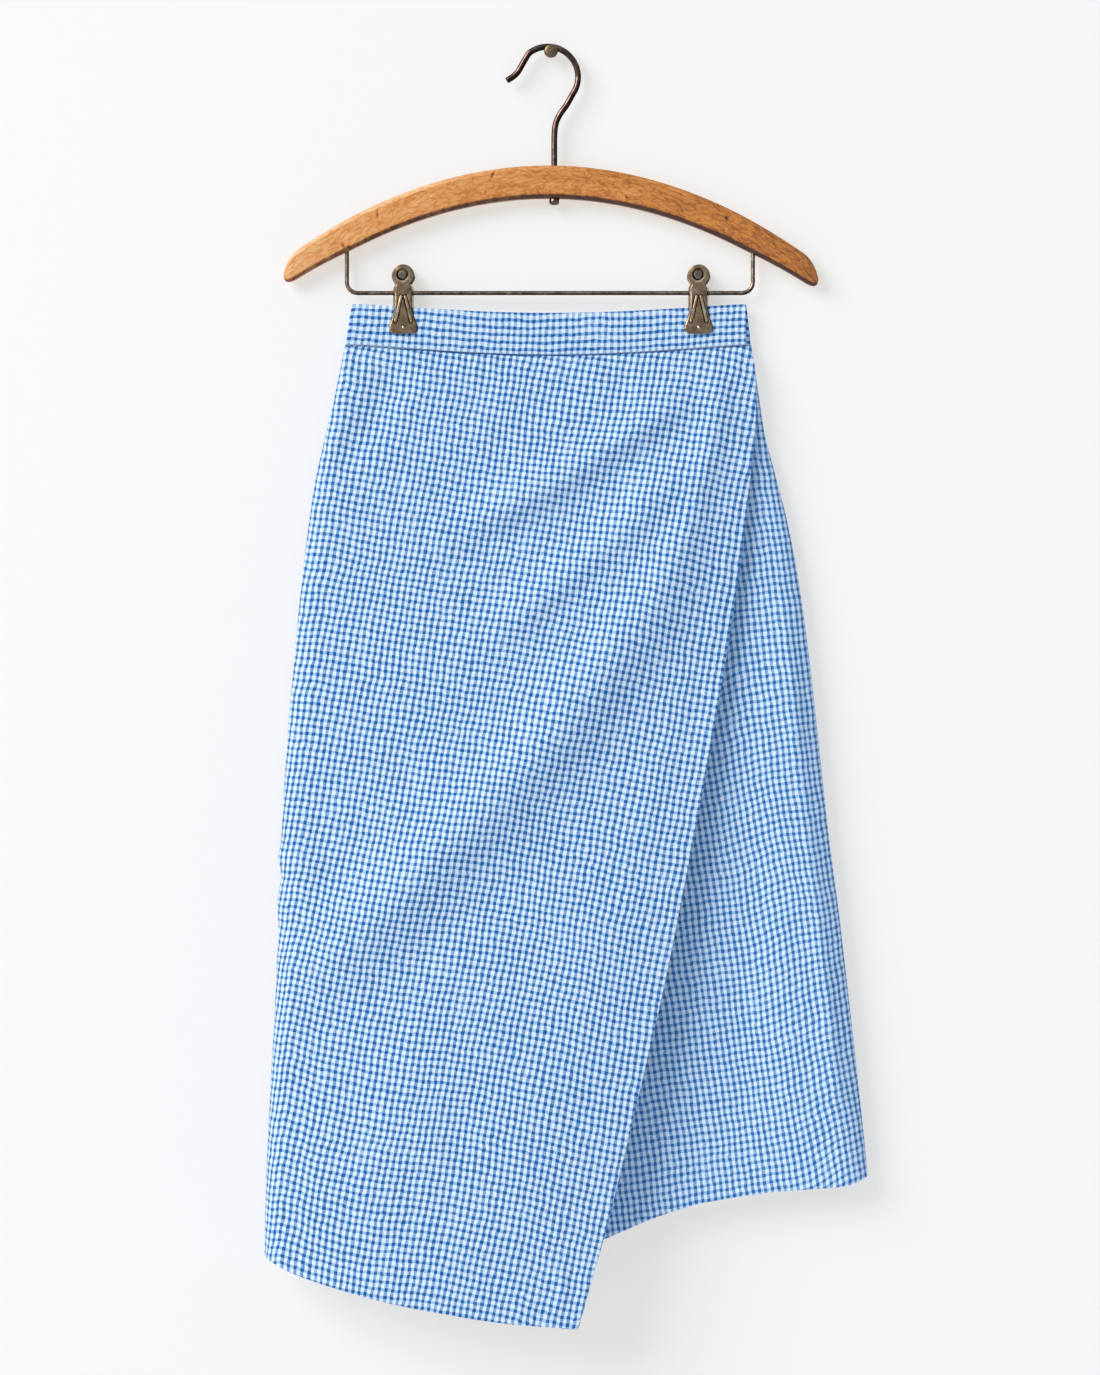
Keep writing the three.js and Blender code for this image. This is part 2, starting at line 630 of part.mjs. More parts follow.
/** Pin with a low domed head in front of the hook and its shank going back into the wall. */
function makePin() {
  const headBack = -HOOK_WIRE / 2 - SEAM_GAP;
  const profile = [[0, headBack - 2.6], [2.6, headBack - 2.3], [4.6, headBack - 1.5], [PIN_HEAD, headBack - 0.6],
    [PIN_HEAD - 0.5, headBack], [PIN_SHANK, headBack], [PIN_SHANK, PIN_POINT_Y - 4], [0, PIN_POINT_Y]];
  const pin = new THREE.LatheGeometry(profile.map(([r, y]) => new THREE.Vector2(r, y)), 16);
  pin.translate(0, 0, -PIN_SHANK - SEAM_GAP);
  return pin;
}

// The clips

/** Half width of a jaw at a height: round tab, neck, body, then the flare down to the grip. */
const JAW_WIDTHS = [
  { z: -177, half: 4.2 }, { z: -179, half: 6.9 }, { z: -182, half: 8.8 }, { z: -186, half: 9.4 },
  { z: -190, half: 8.4 }, { z: -193, half: 6.4 }, { z: -195, half: 8.4 }, { z: -208, half: 8.3 },
  { z: -213, half: 8.6 }, { z: -220, half: 10 }, { z: -226, half: 11.4 }, { z: -229.5, half: 11.9 },
  { z: -232, half: 10.2 },
];

/** Distance of a jaw's outer face from the bar's plane: tilted tab, waist at the bar, belly, grip. */
const JAW_FACES = [
  { z: -176.6, out: 8 }, { z: -186, out: 6.4 }, { z: -194, out: 4.9 }, { z: -199.3, out: 4.3 },
  { z: -206, out: 5.2 }, { z: -213, out: 5.2 }, { z: -221, out: CLIP_GRIP },
  { z: -230, out: CLIP_GRIP }, { z: -232, out: CLIP_GRIP + 0.7 },
];

/** Pressed jaw of a clip at a place along the bar, with two ears that the bar passes through.
 *  side is -1 in front and 1 behind. */
function makeJaw(middle, side) {
  const earX = side < 0 ? 7.9 : 6.4;
  const heights = [CLIP_TOP_Z, ...JAW_WIDTHS.slice(1, -1).map((row) => row.z), CLIP_FOOT_Z];
  const grid = heights.map((z, j) => {
    const half = JAW_WIDTHS[j].half;
    const out = along(JAW_FACES, 'z', z, 'out');
    return [-1, -0.55, 0, 0.55, 1].map((share) => new THREE.Vector3(middle + share * half, side * out, z));
  });
  let solid = toSolid(clothWall(grid, CLIP_SHEET, -side));
  for (const ear of [-1, 1]) {
    const box = new THREE.BoxGeometry(CLIP_SHEET, 7, 11);
    box.translate(middle + ear * earX, side * 0.4, BAR_Z);
    solid = solid.add(toSolid(box));
  }
  solid = solid.subtract(toSolid(crossBar(BAR_WIRE / 2 + SEAM_GAP, 30, middle, BAR_Z)));
  return toGeometry(solid);
}

/** Leaf spring between the jaws: a half turn under the bar and two arms that push the tabs apart. */
function makeSpring(middle) {
  const inside = BAR_WIRE / 2 + SEAM_GAP;
  const sheet = 0.7;
  const armTop = BAR_Z + 12;
  const lean = 1.6;
  const shape = new THREE.Shape();
  shape.moveTo(-inside - sheet, BAR_Z);
  shape.absarc(0, BAR_Z, inside + sheet, Math.PI, 2 * Math.PI, false);
  shape.lineTo(inside + sheet + lean, armTop);
  shape.lineTo(inside + lean, armTop);
  shape.lineTo(inside, BAR_Z);
  shape.absarc(0, BAR_Z, inside, 2 * Math.PI, Math.PI, true);
  shape.lineTo(-inside - lean, armTop);
  shape.lineTo(-inside - sheet - lean, armTop);
  shape.closePath();
  const spring = new THREE.ExtrudeGeometry(shape, { depth: 8, bevelEnabled: false, curveSegments: 6 });
  spring.rotateX(Math.PI / 2);
  spring.rotateZ(Math.PI / 2);
  spring.translate(middle - 4, 0, 0);
  return spring;
}

/** Low dished rivet on the front tab, lying along its tilt. */
function makeRivet(middle) {
  const height = -185.2;
  const tilt = Math.atan2(JAW_FACES[0].out - JAW_FACES[1].out, JAW_FACES[0].z - JAW_FACES[1].z);
  const profile = [[0, 0.3], [2.4, 0.5], [3.4, 1], [4.6, 0.8], [4.8, 0.3], [4.8, 0], [0, 0]];
  const rivet = new THREE.LatheGeometry(profile.reverse().map(([r, y]) => new THREE.Vector2(r, y)), 14);
  rivet.rotateX(Math.PI);
  rivet.rotateX(tilt);
  const out = THREE.MathUtils.mapLinear(height, JAW_FACES[1].z, JAW_FACES[0].z, JAW_FACES[1].out, JAW_FACES[0].out);
  rivet.translate(middle, -out - SEAM_GAP / Math.cos(tilt), height);
  return rivet;
}

addPart('hanger_wood', makeWood(), stainedWood());
addPart('hanger_hook', makeHook(), hookSteel());
addPart('hook_nut', makeNut(), hookSteel());
addPart('hanger_bar', makeBar(), hookSteel());
for (const [name, middle] of Object.entries(CLIP_X)) {
  addPart(`clip_${name}_front_jaw`, makeJaw(middle, -1), brownedBrass());
  addPart(`clip_${name}_back_jaw`, makeJaw(middle, 1), brownedBrass());
  addPart(`clip_${name}_spring`, makeSpring(middle), hookSteel());
  addPart(`clip_${name}_rivet`, makeRivet(middle), brownedBrass());
}
addPart('wall_pin', makePin(), brownedBrass());

export default parts;
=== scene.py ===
# %% [markdown]
# # A gingham wrap skirt on a wooden clip hanger
# This lesson dresses a rigid model of a wrap skirt that hangs by two clips from a wooden hanger, on a
# pin in a wall. The model gives the frame: +Z is up, the front faces -Y, and the origin is where the
# hook bears on its pin. Every piece below is a surface worked out with numpy in millimetres. One helper
# turns it into a Blender mesh in metres, at its real place, so nothing is moved afterwards.

# %% Load the frame
from dataclasses import dataclass

import bpy
import numpy as np
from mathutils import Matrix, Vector


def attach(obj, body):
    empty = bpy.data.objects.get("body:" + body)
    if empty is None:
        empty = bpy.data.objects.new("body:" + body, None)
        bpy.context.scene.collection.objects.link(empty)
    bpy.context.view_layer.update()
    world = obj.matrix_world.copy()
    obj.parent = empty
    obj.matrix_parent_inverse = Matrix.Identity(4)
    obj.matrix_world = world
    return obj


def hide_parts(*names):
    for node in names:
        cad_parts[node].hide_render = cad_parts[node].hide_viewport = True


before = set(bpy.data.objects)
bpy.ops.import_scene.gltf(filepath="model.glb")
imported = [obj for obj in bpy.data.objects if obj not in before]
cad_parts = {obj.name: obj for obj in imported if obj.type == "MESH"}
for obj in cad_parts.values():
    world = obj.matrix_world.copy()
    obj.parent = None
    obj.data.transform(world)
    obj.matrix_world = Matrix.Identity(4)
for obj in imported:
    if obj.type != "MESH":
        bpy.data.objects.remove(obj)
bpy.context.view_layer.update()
MM = 0.001
BODY = "root"
print("nodes in the frame:", len(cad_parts))

# %% [markdown]
# ## Curves through a few points
# Outlines, depths and routes of folds are given by short tables. A cubic curve through the points of a
# table is smooth and passes through each of them, so a table needs only the points that its shape needs.

# %% Cubic curves
def curve_through(keys, values, place):
    """Cubic between neighbouring keys; the slope at a key is that of the line between its neighbours."""
    keys = np.asarray(keys, float)
    values = np.asarray(values, float)
    slopes = np.empty(len(keys))
    slopes[1:-1] = (values[2:] - values[:-2]) / (keys[2:] - keys[:-2])
    slopes[0] = (values[1] - values[0]) / (keys[1] - keys[0])
    slopes[-1] = (values[-1] - values[-2]) / (keys[-1] - keys[-2])
    place = np.clip(place, keys[0], keys[-1])
    i = np.clip(np.searchsorted(keys, place, side="right") - 1, 0, len(keys) - 2)
    span = keys[i + 1] - keys[i]
    t = (place - keys[i]) / span
    rest = 1 - t
    return (values[i] * rest * rest * (1 + 2 * t) + values[i + 1] * t * t * (3 - 2 * t)
            + span * (slopes[i] * t * rest * rest - slopes[i + 1] * t * t * rest))


def ease(value, low, high):
    """0 below low, 1 above high, and 3t^2 - 2t^3 of the share between them."""
    t = np.clip((value - low) / (high - low), 0, 1)
    return t * t * (3 - 2 * t)


def bell(distance, reach):
    """1 at no distance, falling off as exp(-(distance / reach)^2)."""
    return np.exp(-(distance / reach) ** 2)


def read_table(table, place):
    """Cubic curve through a table of two columns, places and values."""
    return curve_through(table[:, 0], table[:, 1], place)


def walked(points, axis=0):
    """Length walked from the first point of a row, or from each first point of a grid, along an axis."""
    steps = np.linalg.norm(np.diff(points, axis=axis), axis=-1)
    return np.cumsum(np.insert(steps, 0, 0, axis=axis), axis=axis)


def smooth_route(points, count):
    """Points spread evenly along the cubic curve through the given points, by chord length."""
    points = np.asarray(points, float)
    chord = walked(points)
    places = np.linspace(0, chord[-1], count)
    return np.stack([curve_through(chord, column, places) for column in points.T], axis=-1)


# %% [markdown]
# ## From a grid of points to a mesh
# A surface of two parameters is a grid of points. Its faces are the grid's squares. A wall gets its
# thickness from a Solidify modifier, and a closed tube has its first and last column joined and its two
# ends closed. The pattern's own flat coordinates go with the mesh as a UV map, in metres.

# %% Mesh helpers
def grid_points(x, y, z):
    """Grid of points from three coordinates, each given for all points, for each row or each column."""
    return np.stack(np.broadcast_arrays(x, y, z), axis=-1)


def grid_faces(rows, columns, joined=False):
    """Squares of a grid: each joins a point with its neighbours on the right and below."""
    across = columns if joined else columns - 1
    row = np.arange(rows - 1)[:, None] * columns
    left = np.arange(across)[None, :]
    right = (left + 1) % columns
    squares = np.stack([row + left, row + right, row + columns + right, row + columns + left], axis=-1)
    return squares.reshape(-1, 4)


def add_piece(name, node, slot_name, points, uv=None, tube=False, flip=False):
    """Mesh from a grid of points in millimetres, riding on the one rigid body. A tube has its first and
    last columns joined and its ends closed, flip turns the faces over, and uv is the flat coordinates."""
    rows, columns = points.shape[:2]
    faces = grid_faces(rows, columns, joined=tube)
    if flip:
        faces = faces[:, ::-1]
    all_faces = [tuple(face) for face in faces.tolist()]
    if tube:
        all_faces += [tuple(range(columns)), tuple(range((rows - 1) * columns, rows * columns))[::-1]]
    mesh = bpy.data.meshes.new(name)
    mesh.from_pydata((points.reshape(-1, 3) * MM).tolist(), [], all_faces)
    mesh.polygons.foreach_set("use_smooth", np.ones(len(mesh.polygons), bool))
    if uv is not None:
        corner_points = np.empty(len(mesh.loops), int)
        mesh.loops.foreach_get("vertex_index", corner_points)
        layer = mesh.uv_layers.new(name="flat")
        layer.data.foreach_set("uv", (uv.reshape(-1, 2) * MM)[corner_points].astype(np.float32).ravel())
    mesh.update()
    piece = bpy.data.objects.new(name, mesh)
    bpy.context.scene.collection.objects.link(piece)
    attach(piece, BODY)
    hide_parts(node)
    print(name, "faces:", len(mesh.polygons))
    return piece


def add_attribute(piece, name, values):
    """One number for each point of the mesh, which a material can read by its name."""
    layer = piece.data.attributes.new(name, "FLOAT", "POINT")
    layer.data.foreach_set("value", values.ravel().astype(np.float32))


def give_thickness(piece, thickness, offset=-1.0):
    """A wall behind the surface, -1 wholly on the inner side of its faces, 0 half on each side."""
    wall = piece.modifiers.new("wall", "SOLIDIFY")
    wall.thickness = thickness * MM
    wall.offset = offset


def unit(vectors):
    """Vectors of length one along the last axis."""
    return vectors / np.maximum(np.linalg.norm(vectors, axis=-1, keepdims=True), 1e-12)


# %% [markdown]
# ## Sizes of the skirt
# The scale comes from the hanger: it is 440 mm long. The camera stands square to the wall, so heights
# and widths are read straight off the picture. Each row below is one level of the skirt, from the waist
# seam down: the two side edges, the depth of the side seams, the depth of the faces of the outer
# front, inner front and back panels, the width over which the inner panels round away at their sides,
# and that over which the outer front does on the left.

# %% Levels, edges and hems
WAIST = -241.0                   # height at which the sides meet the waistband
LEVELS = np.array([
    # height, left, right, seam left, seam right, over, under, back, corner, turn
    (-241, -168.5, 164.0, 0, 0.9, -2.6, -0.8, 2.6, 2.6, 2.6),
    (-279, -176.3, 169.7, -1.5, 0, -8.5, -3.6, 4, 8, 8),
    (-316, -184.5, 175.5, -3, -1, -13.5, -6.5, 5, 15, 13),
    (-353, -193.0, 185.0, -5, -2, -17.5, -8.5, 5.5, 21, 16),
    (-390, -198.3, 194.3, -7, -2.5, -20.5, -10, 6, 26, 18),
    (-439, -204.0, 203.4, -9.5, -3, -24, -11.5, 6, 30, 18),
    (-500, -209.8, 211.6, -12, -3.5, -29, -13, 6, 33, 17),
    (-574, -215.8, 219.8, -15, -4, -34, -14, 6, 35, 16),
    (-648, -219.9, 228.0, -18, -4.5, -39.5, -15, 6, 36, 15),
    (-697, -221.6, 234.5, -19.5, -5, -43, -15.5, 6, 36, 14),
    (-783, -224.8, 244.4, -21.5, -5.5, -48.5, -16, 6, 36, 14),
    (-857, -228.8, 252.6, -23, -6, -53, -17, 6, 36, 14),
    (-925, -231.8, 259.3, -24, -6.5, -56.5, -18, 6, 36, 14),
    (-985, -233.0, 263.0, -25, -7, -59, -18, 6, 36, 14),
    (-1050, -233.8, 267.0, -25, -7, -61, -18, 6, 36, 14),
])[::-1]
LEVEL_COLUMNS = [
    "z", "left", "right", "seam_left", "seam_right", "over", "under", "back", "corner", "turn",
]
GRADUAL_WIDTH = 210.0            # the outer front goes on coming forward this far from its left side
GRADUAL_FROM = (290, 470)        # and does so from nowhere to fully between these depths below the hook
LEFT_DENTS = [(-661, -1.8, 8), (-677, 1.7, 6), (-700, -1.2, 11), (-723, 0.9, 9)]  # height, depth, reach

WRAP_EDGE = np.array([
    # height, place across
    (-241, 163.2), (-259, 166.3), (-284, 167.1), (-311, 166.4), (-359, 161.2), (-407, 156.3),
    (-447, 150.2), (-486, 144), (-534, 135.8), (-613, 121.5), (-692, 105.7), (-767, 90.3),
    (-821, 77.6), (-891, 60.8), (-965, 42.3), (-1043, 19.5),
])[::-1]
UNDER_EDGE = np.array([
    (-241, -157), (-359, -149), (-534, -120), (-692, -86), (-821, -52), (-986, 3),
])[::-1]

OVER_HEM = np.array([
    # place across, height
    (-233, -983.5), (-224, -988.5), (-210, -995.5), (-186, -1004), (-136, -1017.5), (-85, -1027),
    (-35, -1034), (19.5, -1038),
])
UNDER_HEM = np.array([
    (3, -985.5), (42.4, -973.7), (83.5, -957.4), (108.4, -948.7), (133.4, -941.9), (183.4, -933.9),
    (211, -931.5), (241.2, -928.5), (259.3, -922),
])
BACK_HEM = np.array([(-233, -983.5), (-80, -974), (90, -951), (259.3, -922)])


def level(z, column):
    """Smooth value of one column of the table at each height."""
    return curve_through(LEVELS[:, 0], LEVELS[:, LEVEL_COLUMNS.index(column)], z)


print("hem width in mm:", float(level(-985, "right") - level(-985, "left")))

# %% [markdown]
# ## Sizes of the waistband
# The band is one strip, 34 mm high. It hangs in a shallow bow between its clips, so its top edge and
# its lower seam are both curves that sag most in the middle.

# %% Waistband sizes
BAND_STRIP = 34.0                # height of the strip along its cloth
BAND_CLOTH = 1.5
BAND_FACE = 2.75
UNDER_FACE = -0.95
BAND_LEFT = (-163.6, -168.5)     # top and foot of the left side, then of the right
BAND_RIGHT = (160.3, 164.0)
BAND_HEIGHTS = (-208.4, -241.6)  # top and foot at the sides
BAND_SAGS = (7.3, 8.3)
WRAP_END = 159.5
UNDER_END = -150.0
SEAM_GAP = 0.3


def band_height(x, share):
    """Height of the band's top (share 0) or foot (share 1): the sag is (1 - side^2)^1.5 of its depth."""
    half = (BAND_RIGHT[1] - BAND_LEFT[1]) / 2
    side = np.minimum(np.abs(x) / half, 1)
    sag = (1 - side * side) ** 1.5
    top = BAND_HEIGHTS[0] - BAND_SAGS[0] * sag
    foot = BAND_HEIGHTS[1] - BAND_SAGS[1] * sag
    return top + (foot - top) * share


# %% [markdown]
# ## Folds as lines on the cloth
# A drag fold runs from the clip that holds the cloth to where the cloth is free. Here a fold is a route of
# a few points, a height and a reach on each side. Its lift is a bell curve across the route that fades at
# both ends. Uneven lengths, heights and reaches, put down one by one, look like cloth; a noise alone does
# not. The largest of them are in the rigid model too, and the finer ones only here.

# %% Fold helper
ROUTE_POINTS = 28
WAVES = 12
WHOLE_TURN = 6.3                 # for random phases


def fold_lift(folds, x, z):
    """Sum of height x fade x exp(-(distance / reach)^2), the reach its own on each side of the route. The
    fade rises over the first quarter of the route and falls over the last."""
    flat_x = x.ravel()[:, None]
    flat_z = z.ravel()[:, None]
    total = np.zeros(x.size)
    for height, reach_above, reach_below, points in folds:
        route = smooth_route(points, ROUTE_POINTS)
        start = route[:-1]
        step = np.diff(route, axis=0)
        off_x = flat_x - start[:, 0]
        off_z = flat_z - start[:, 1]
        t = np.clip((off_x * step[:, 0] + off_z * step[:, 1]) / (step ** 2).sum(axis=1), 0, 1)
        distance = (off_x - t * step[:, 0]) ** 2 + (off_z - t * step[:, 1]) ** 2
        nearest = distance.argmin(axis=1)
        row = np.arange(len(nearest))
        side = step[nearest, 0] * off_z[row, nearest] - step[nearest, 1] * off_x[row, nearest]
        reach = np.where(side > 0, reach_below, reach_above)
        share = (nearest + t[row, nearest]) / len(step)
        fade = ease(share, -0.1, 0.25) * (1 - ease(share, 0.75, 1.1))
        total += height * fade * np.exp(-distance[row, nearest] / reach ** 2)
    return total.reshape(x.shape)


def crumple(x, z, height, seed):
    """Mean of a dozen waves in seeded directions, 35 to 110 mm long: the unevenness of hanging cotton."""
    dice = np.random.default_rng(seed)
    angles = dice.uniform(0, np.pi, WAVES)
    lengths = dice.uniform(35, 110, WAVES)
    phases = dice.uniform(0, WHOLE_TURN, WAVES)
    total = np.zeros_like(x)
    for angle, length, phase in zip(angles, lengths, phases):
        total += np.sin((x * np.cos(angle) + z * np.sin(angle)) * 2 * np.pi / length + phase)
    return total * height / WAVES

# %% Folds of each panel
OVER_FOLDS = [
    # height, reach above and below the route, route from right to left
    (12, 29, 29, [(124, -364), (104, -412), (80, -457), (54, -492), (25, -533), (-14, -580), (-56, -623),
                  (-98, -662), (-138, -704), (-180, -741), (-216, -772)]),
    (7.4, 20, 14, [(126, -278), (82, -304), (38, -332), (-2, -359), (-38, -377), (-76, -393)]),
    (7.4, 18, 17, [(122, -330), (82, -371), (46, -407), (14, -434), (-22, -460), (-56, -482)]),
    (-2.8, 12, 14, [(-124, -250), (-138, -282), (-154, -315), (-176, -352)]),
    (4, 13, 12, [(141, -256), (134, -298), (126, -345), (110, -396), (92, -432)]),
    (2.0, 34, 44, [(64, -640), (24, -760), (-6, -880), (-18, -990)]),
    (2.2, 34, 40, [(-80, -790), (-120, -870), (-150, -960)]),
    (3.5, 12, 8, [(-221, -650), (-205, -662), (-182, -674)]),
]
OVER_CREASES = [
    (-1.3, 7, 9, [(92, -290), (62, -304), (34, -318), (4, -336)]),
    (1.0, 7, 8, [(60, -276), (30, -292), (-4, -312), (-30, -326)]),
    (-1.2, 8, 12, [(-20, -392), (-58, -412), (-96, -430)]),
    (1.3, 8, 10, [(74, -404), (50, -432), (22, -462), (-4, -484)]),
    (-1.1, 8, 10, [(-118, -272), (-134, -300), (-150, -324)]),
    (1.0, 6, 9, [(-96, -258), (-112, -280), (-124, -304)]),
    (1.2, 7, 14, [(-60, -560), (-100, -600), (-150, -644)]),
    (-1.5, 6, 6, [(-222, -664), (-206, -672), (-190, -680), (-176, -694)]),
    (1.4, 4, 5, [(-221, -676), (-208, -682), (-196, -692)]),
    (1.4, 5, 6, [(-222, -742), (-206, -752), (-186, -770)]),
    (-1.3, 5, 6, [(-222, -756), (-204, -768), (-190, -780)]),
    (-1.0, 10, 16, [(20, -640), (-20, -674), (-74, -712), (-130, -752)]),
    (0.9, 12, 16, [(96, -560), (70, -640), (58, -720)]),
    (0.9, 10, 14, [(-20, -270), (-48, -296), (-66, -326)]),
    (-0.8, 7, 9, [(-48, -256), (-54, -276), (-64, -296)]),
    (0.8, 5, 8, [(-72, -254), (-82, -274), (-86, -292)]),
    (0.7, 5, 8, [(42, -256), (30, -270), (16, -284)]),
    (-0.8, 5, 8, [(70, -256), (60, -272), (44, -288)]),
    (0.8, 6, 8, [(146, -400), (138, -440), (128, -490)]),
    (-0.8, 8, 10, [(128, -500), (112, -560), (98, -620)]),
    (-0.8, 12, 14, [(-60, -830), (-76, -900), (-80, -980)]),
    (0.8, 14, 14, [(-178, -820), (-186, -900), (-192, -960)]),
    (0.9, 5, 6, [(6, -988), (8, -1006), (4, -1026)]),
    (-0.9, 4, 5, [(14, -980), (17, -1000), (14, -1024)]),
    (-0.9, 3, 4, [(-44, -299), (-52, -301), (-60, -300)]),
    (0.8, 3, 4, [(-48, -306), (-52, -314), (-57, -323)]),
    (0.9, 3, 4, [(-98, -357), (-110, -354), (-122, -354)]),
    (0.9, 3, 4, [(-95, -369), (-106, -366), (-119, -362)]),
    (-0.8, 3, 4, [(-122, -344), (-126, -358), (-130, -372)]),
    (0.8, 3, 4, [(-8, -346), (-14, -339), (-22, -332)]),
    (-0.8, 3, 4, [(52, -318), (44, -312), (34, -310)]),
    (0.8, 3, 4, [(84, -288), (74, -284), (66, -286)]),
]
UNDER_FOLDS = [
    (0.8, 16, 16, [(172, -520), (184, -700), (192, -880)]),
    (0.8, 18, 18, [(140, -620), (130, -780), (128, -900)]),
    (4.2, 62, 70, [(186, -440), (206, -600), (224, -760), (238, -900)]),
]
UNDER_CREASES = [
    (-0.6, 12, 14, [(196, -560), (206, -700), (214, -860)]),
    (1.0, 7, 10, [(214, -470), (206, -520), (200, -580)]),
    (0.9, 8, 10, [(178, -400), (172, -440), (170, -490)]),
    (-0.5, 10, 14, [(152, -700), (150, -800), (152, -890)]),
    (0.5, 10, 12, [(232, -760), (226, -830), (224, -900)]),
]
BACK_FOLDS = [
    (-4, 24, 24, [(-118, -300), (-90, -480), (-60, -700), (-50, -940)]),
    (-3.5, 20, 20, [(112, -300), (60, -430), (0, -560), (-70, -680)]),
    (-4, 26, 26, [(100, -480), (110, -700), (130, -900)]),
]
BACK_CREASES = [
    (-1.5, 8, 14, [(104, -270), (62, -330), (20, -380)]),
    (1.2, 9, 12, [(-106, -270), (-70, -350), (-50, -430)]),
    (-1.2, 10, 14, [(-160, -420), (-150, -560), (-156, -700)]),
    (1.3, 12, 12, [(30, -620), (24, -760), (30, -900)]),
    (-1.0, 8, 10, [(-214, -640), (-196, -652), (-174, -664)]),
    (1.2, 8, 10, [(190, -500), (196, -640), (204, -800)]),
]
print("hand-placed folds:", sum(map(len, [OVER_FOLDS, OVER_CREASES, UNDER_FOLDS, UNDER_CREASES])))

# %% [markdown]
# ## A panel of the skirt
# Each panel is a surface of two shares: one across, from its side seam to its free edge, and one down,
# from the waist seam to the hem. Over the corner it follows a quarter of an ellipse, so the side rounds
# away, and then it lies flat but for its folds; the outer front also comes forward slowly, over a much
# greater width. A real panel's free edges are turned in and stitched. Here the surface goes on round
# the edge in a small half circle and back behind itself, so the edge shows its round turn and its
# double thickness.

# %% Panel surface
PANEL_CLOTH = 0.5                # one layer of the cotton as it shows
TURN = 0.45                      # radius of the turn at an edge
TURN_WIDTH = 14.0                # how far the cloth goes back behind the edge
CRUMPLE = 0.8                    # height of the low waves of hanging cotton
SEAM_STEP = 0.9                  # the panels start this far behind the band's face
SEAM_GROOVE = 1.9                # and dive in behind its foot over the last millimetre
PUCKER = 0.14                    # height of each wave under the waist seam
PUCKER_WAVES = 6
ROW_LENGTH = 300.0               # rough length of a row, and of a column, for the way back at an edge
COLUMN_LENGTH = 780.0
FINE_STEP = 1e-4                 # step in share over which a slope is taken
EVEN_ROWS = 20                   # rows above and below over which the lengths of rows are evened


def rounded_place(share, corner_share, corner, width):
    """Distance from the side edge: corner (1 - cos) round the side, then evenly over the rest."""
    round_part = corner * (1 - np.cos(np.minimum(share / corner_share, 1) * np.pi / 2))
    flat_part = (width - corner) * np.maximum(share - corner_share, 0) / (1 - corner_share)
    return round_part + flat_part


def rounded_depth(distance, corner, seam, face, gradual):
    """Depth at a distance from the side edge: a quarter of an ellipse over the corner, then flat. The
    gradual share of it is the parabola 1 - (1 - distance / width)^2 over a much greater width instead."""
    rest = np.maximum(1 - distance / corner, 0)
    slow_rest = np.maximum(1 - distance / GRADUAL_WIDTH, 0)
    share = (1 - gradual) * np.sqrt(np.maximum(1 - rest * rest, 0)) + gradual * (1 - slow_rest ** 2)
    return seam + (face - seam) * share


def fold_share(distance, corner, z):
    """Folds die away over 30 mm below the waist seam and where a side rounds away."""
    return ease(BAND_HEIGHTS[1] - 6 - z, 0, 30) * ease(distance / corner, 0.25, 1)


def seam_puckers(x, z, seed):
    """Short upright puckers under the waist seam: waves along the seam that fade out over 30 mm."""
    below = band_height(x, 1) - z
    dice = np.random.default_rng(seed)
    lengths = dice.uniform(9, 31, PUCKER_WAVES)
    phases = dice.uniform(0, WHOLE_TURN, PUCKER_WAVES)
    waves = sum(np.sin(x * 2 * np.pi / length + phase) for length, phase in zip(lengths, phases))
    return PUCKER * waves * ease(below, 0, 5) * (1 - ease(below, 6, 34))


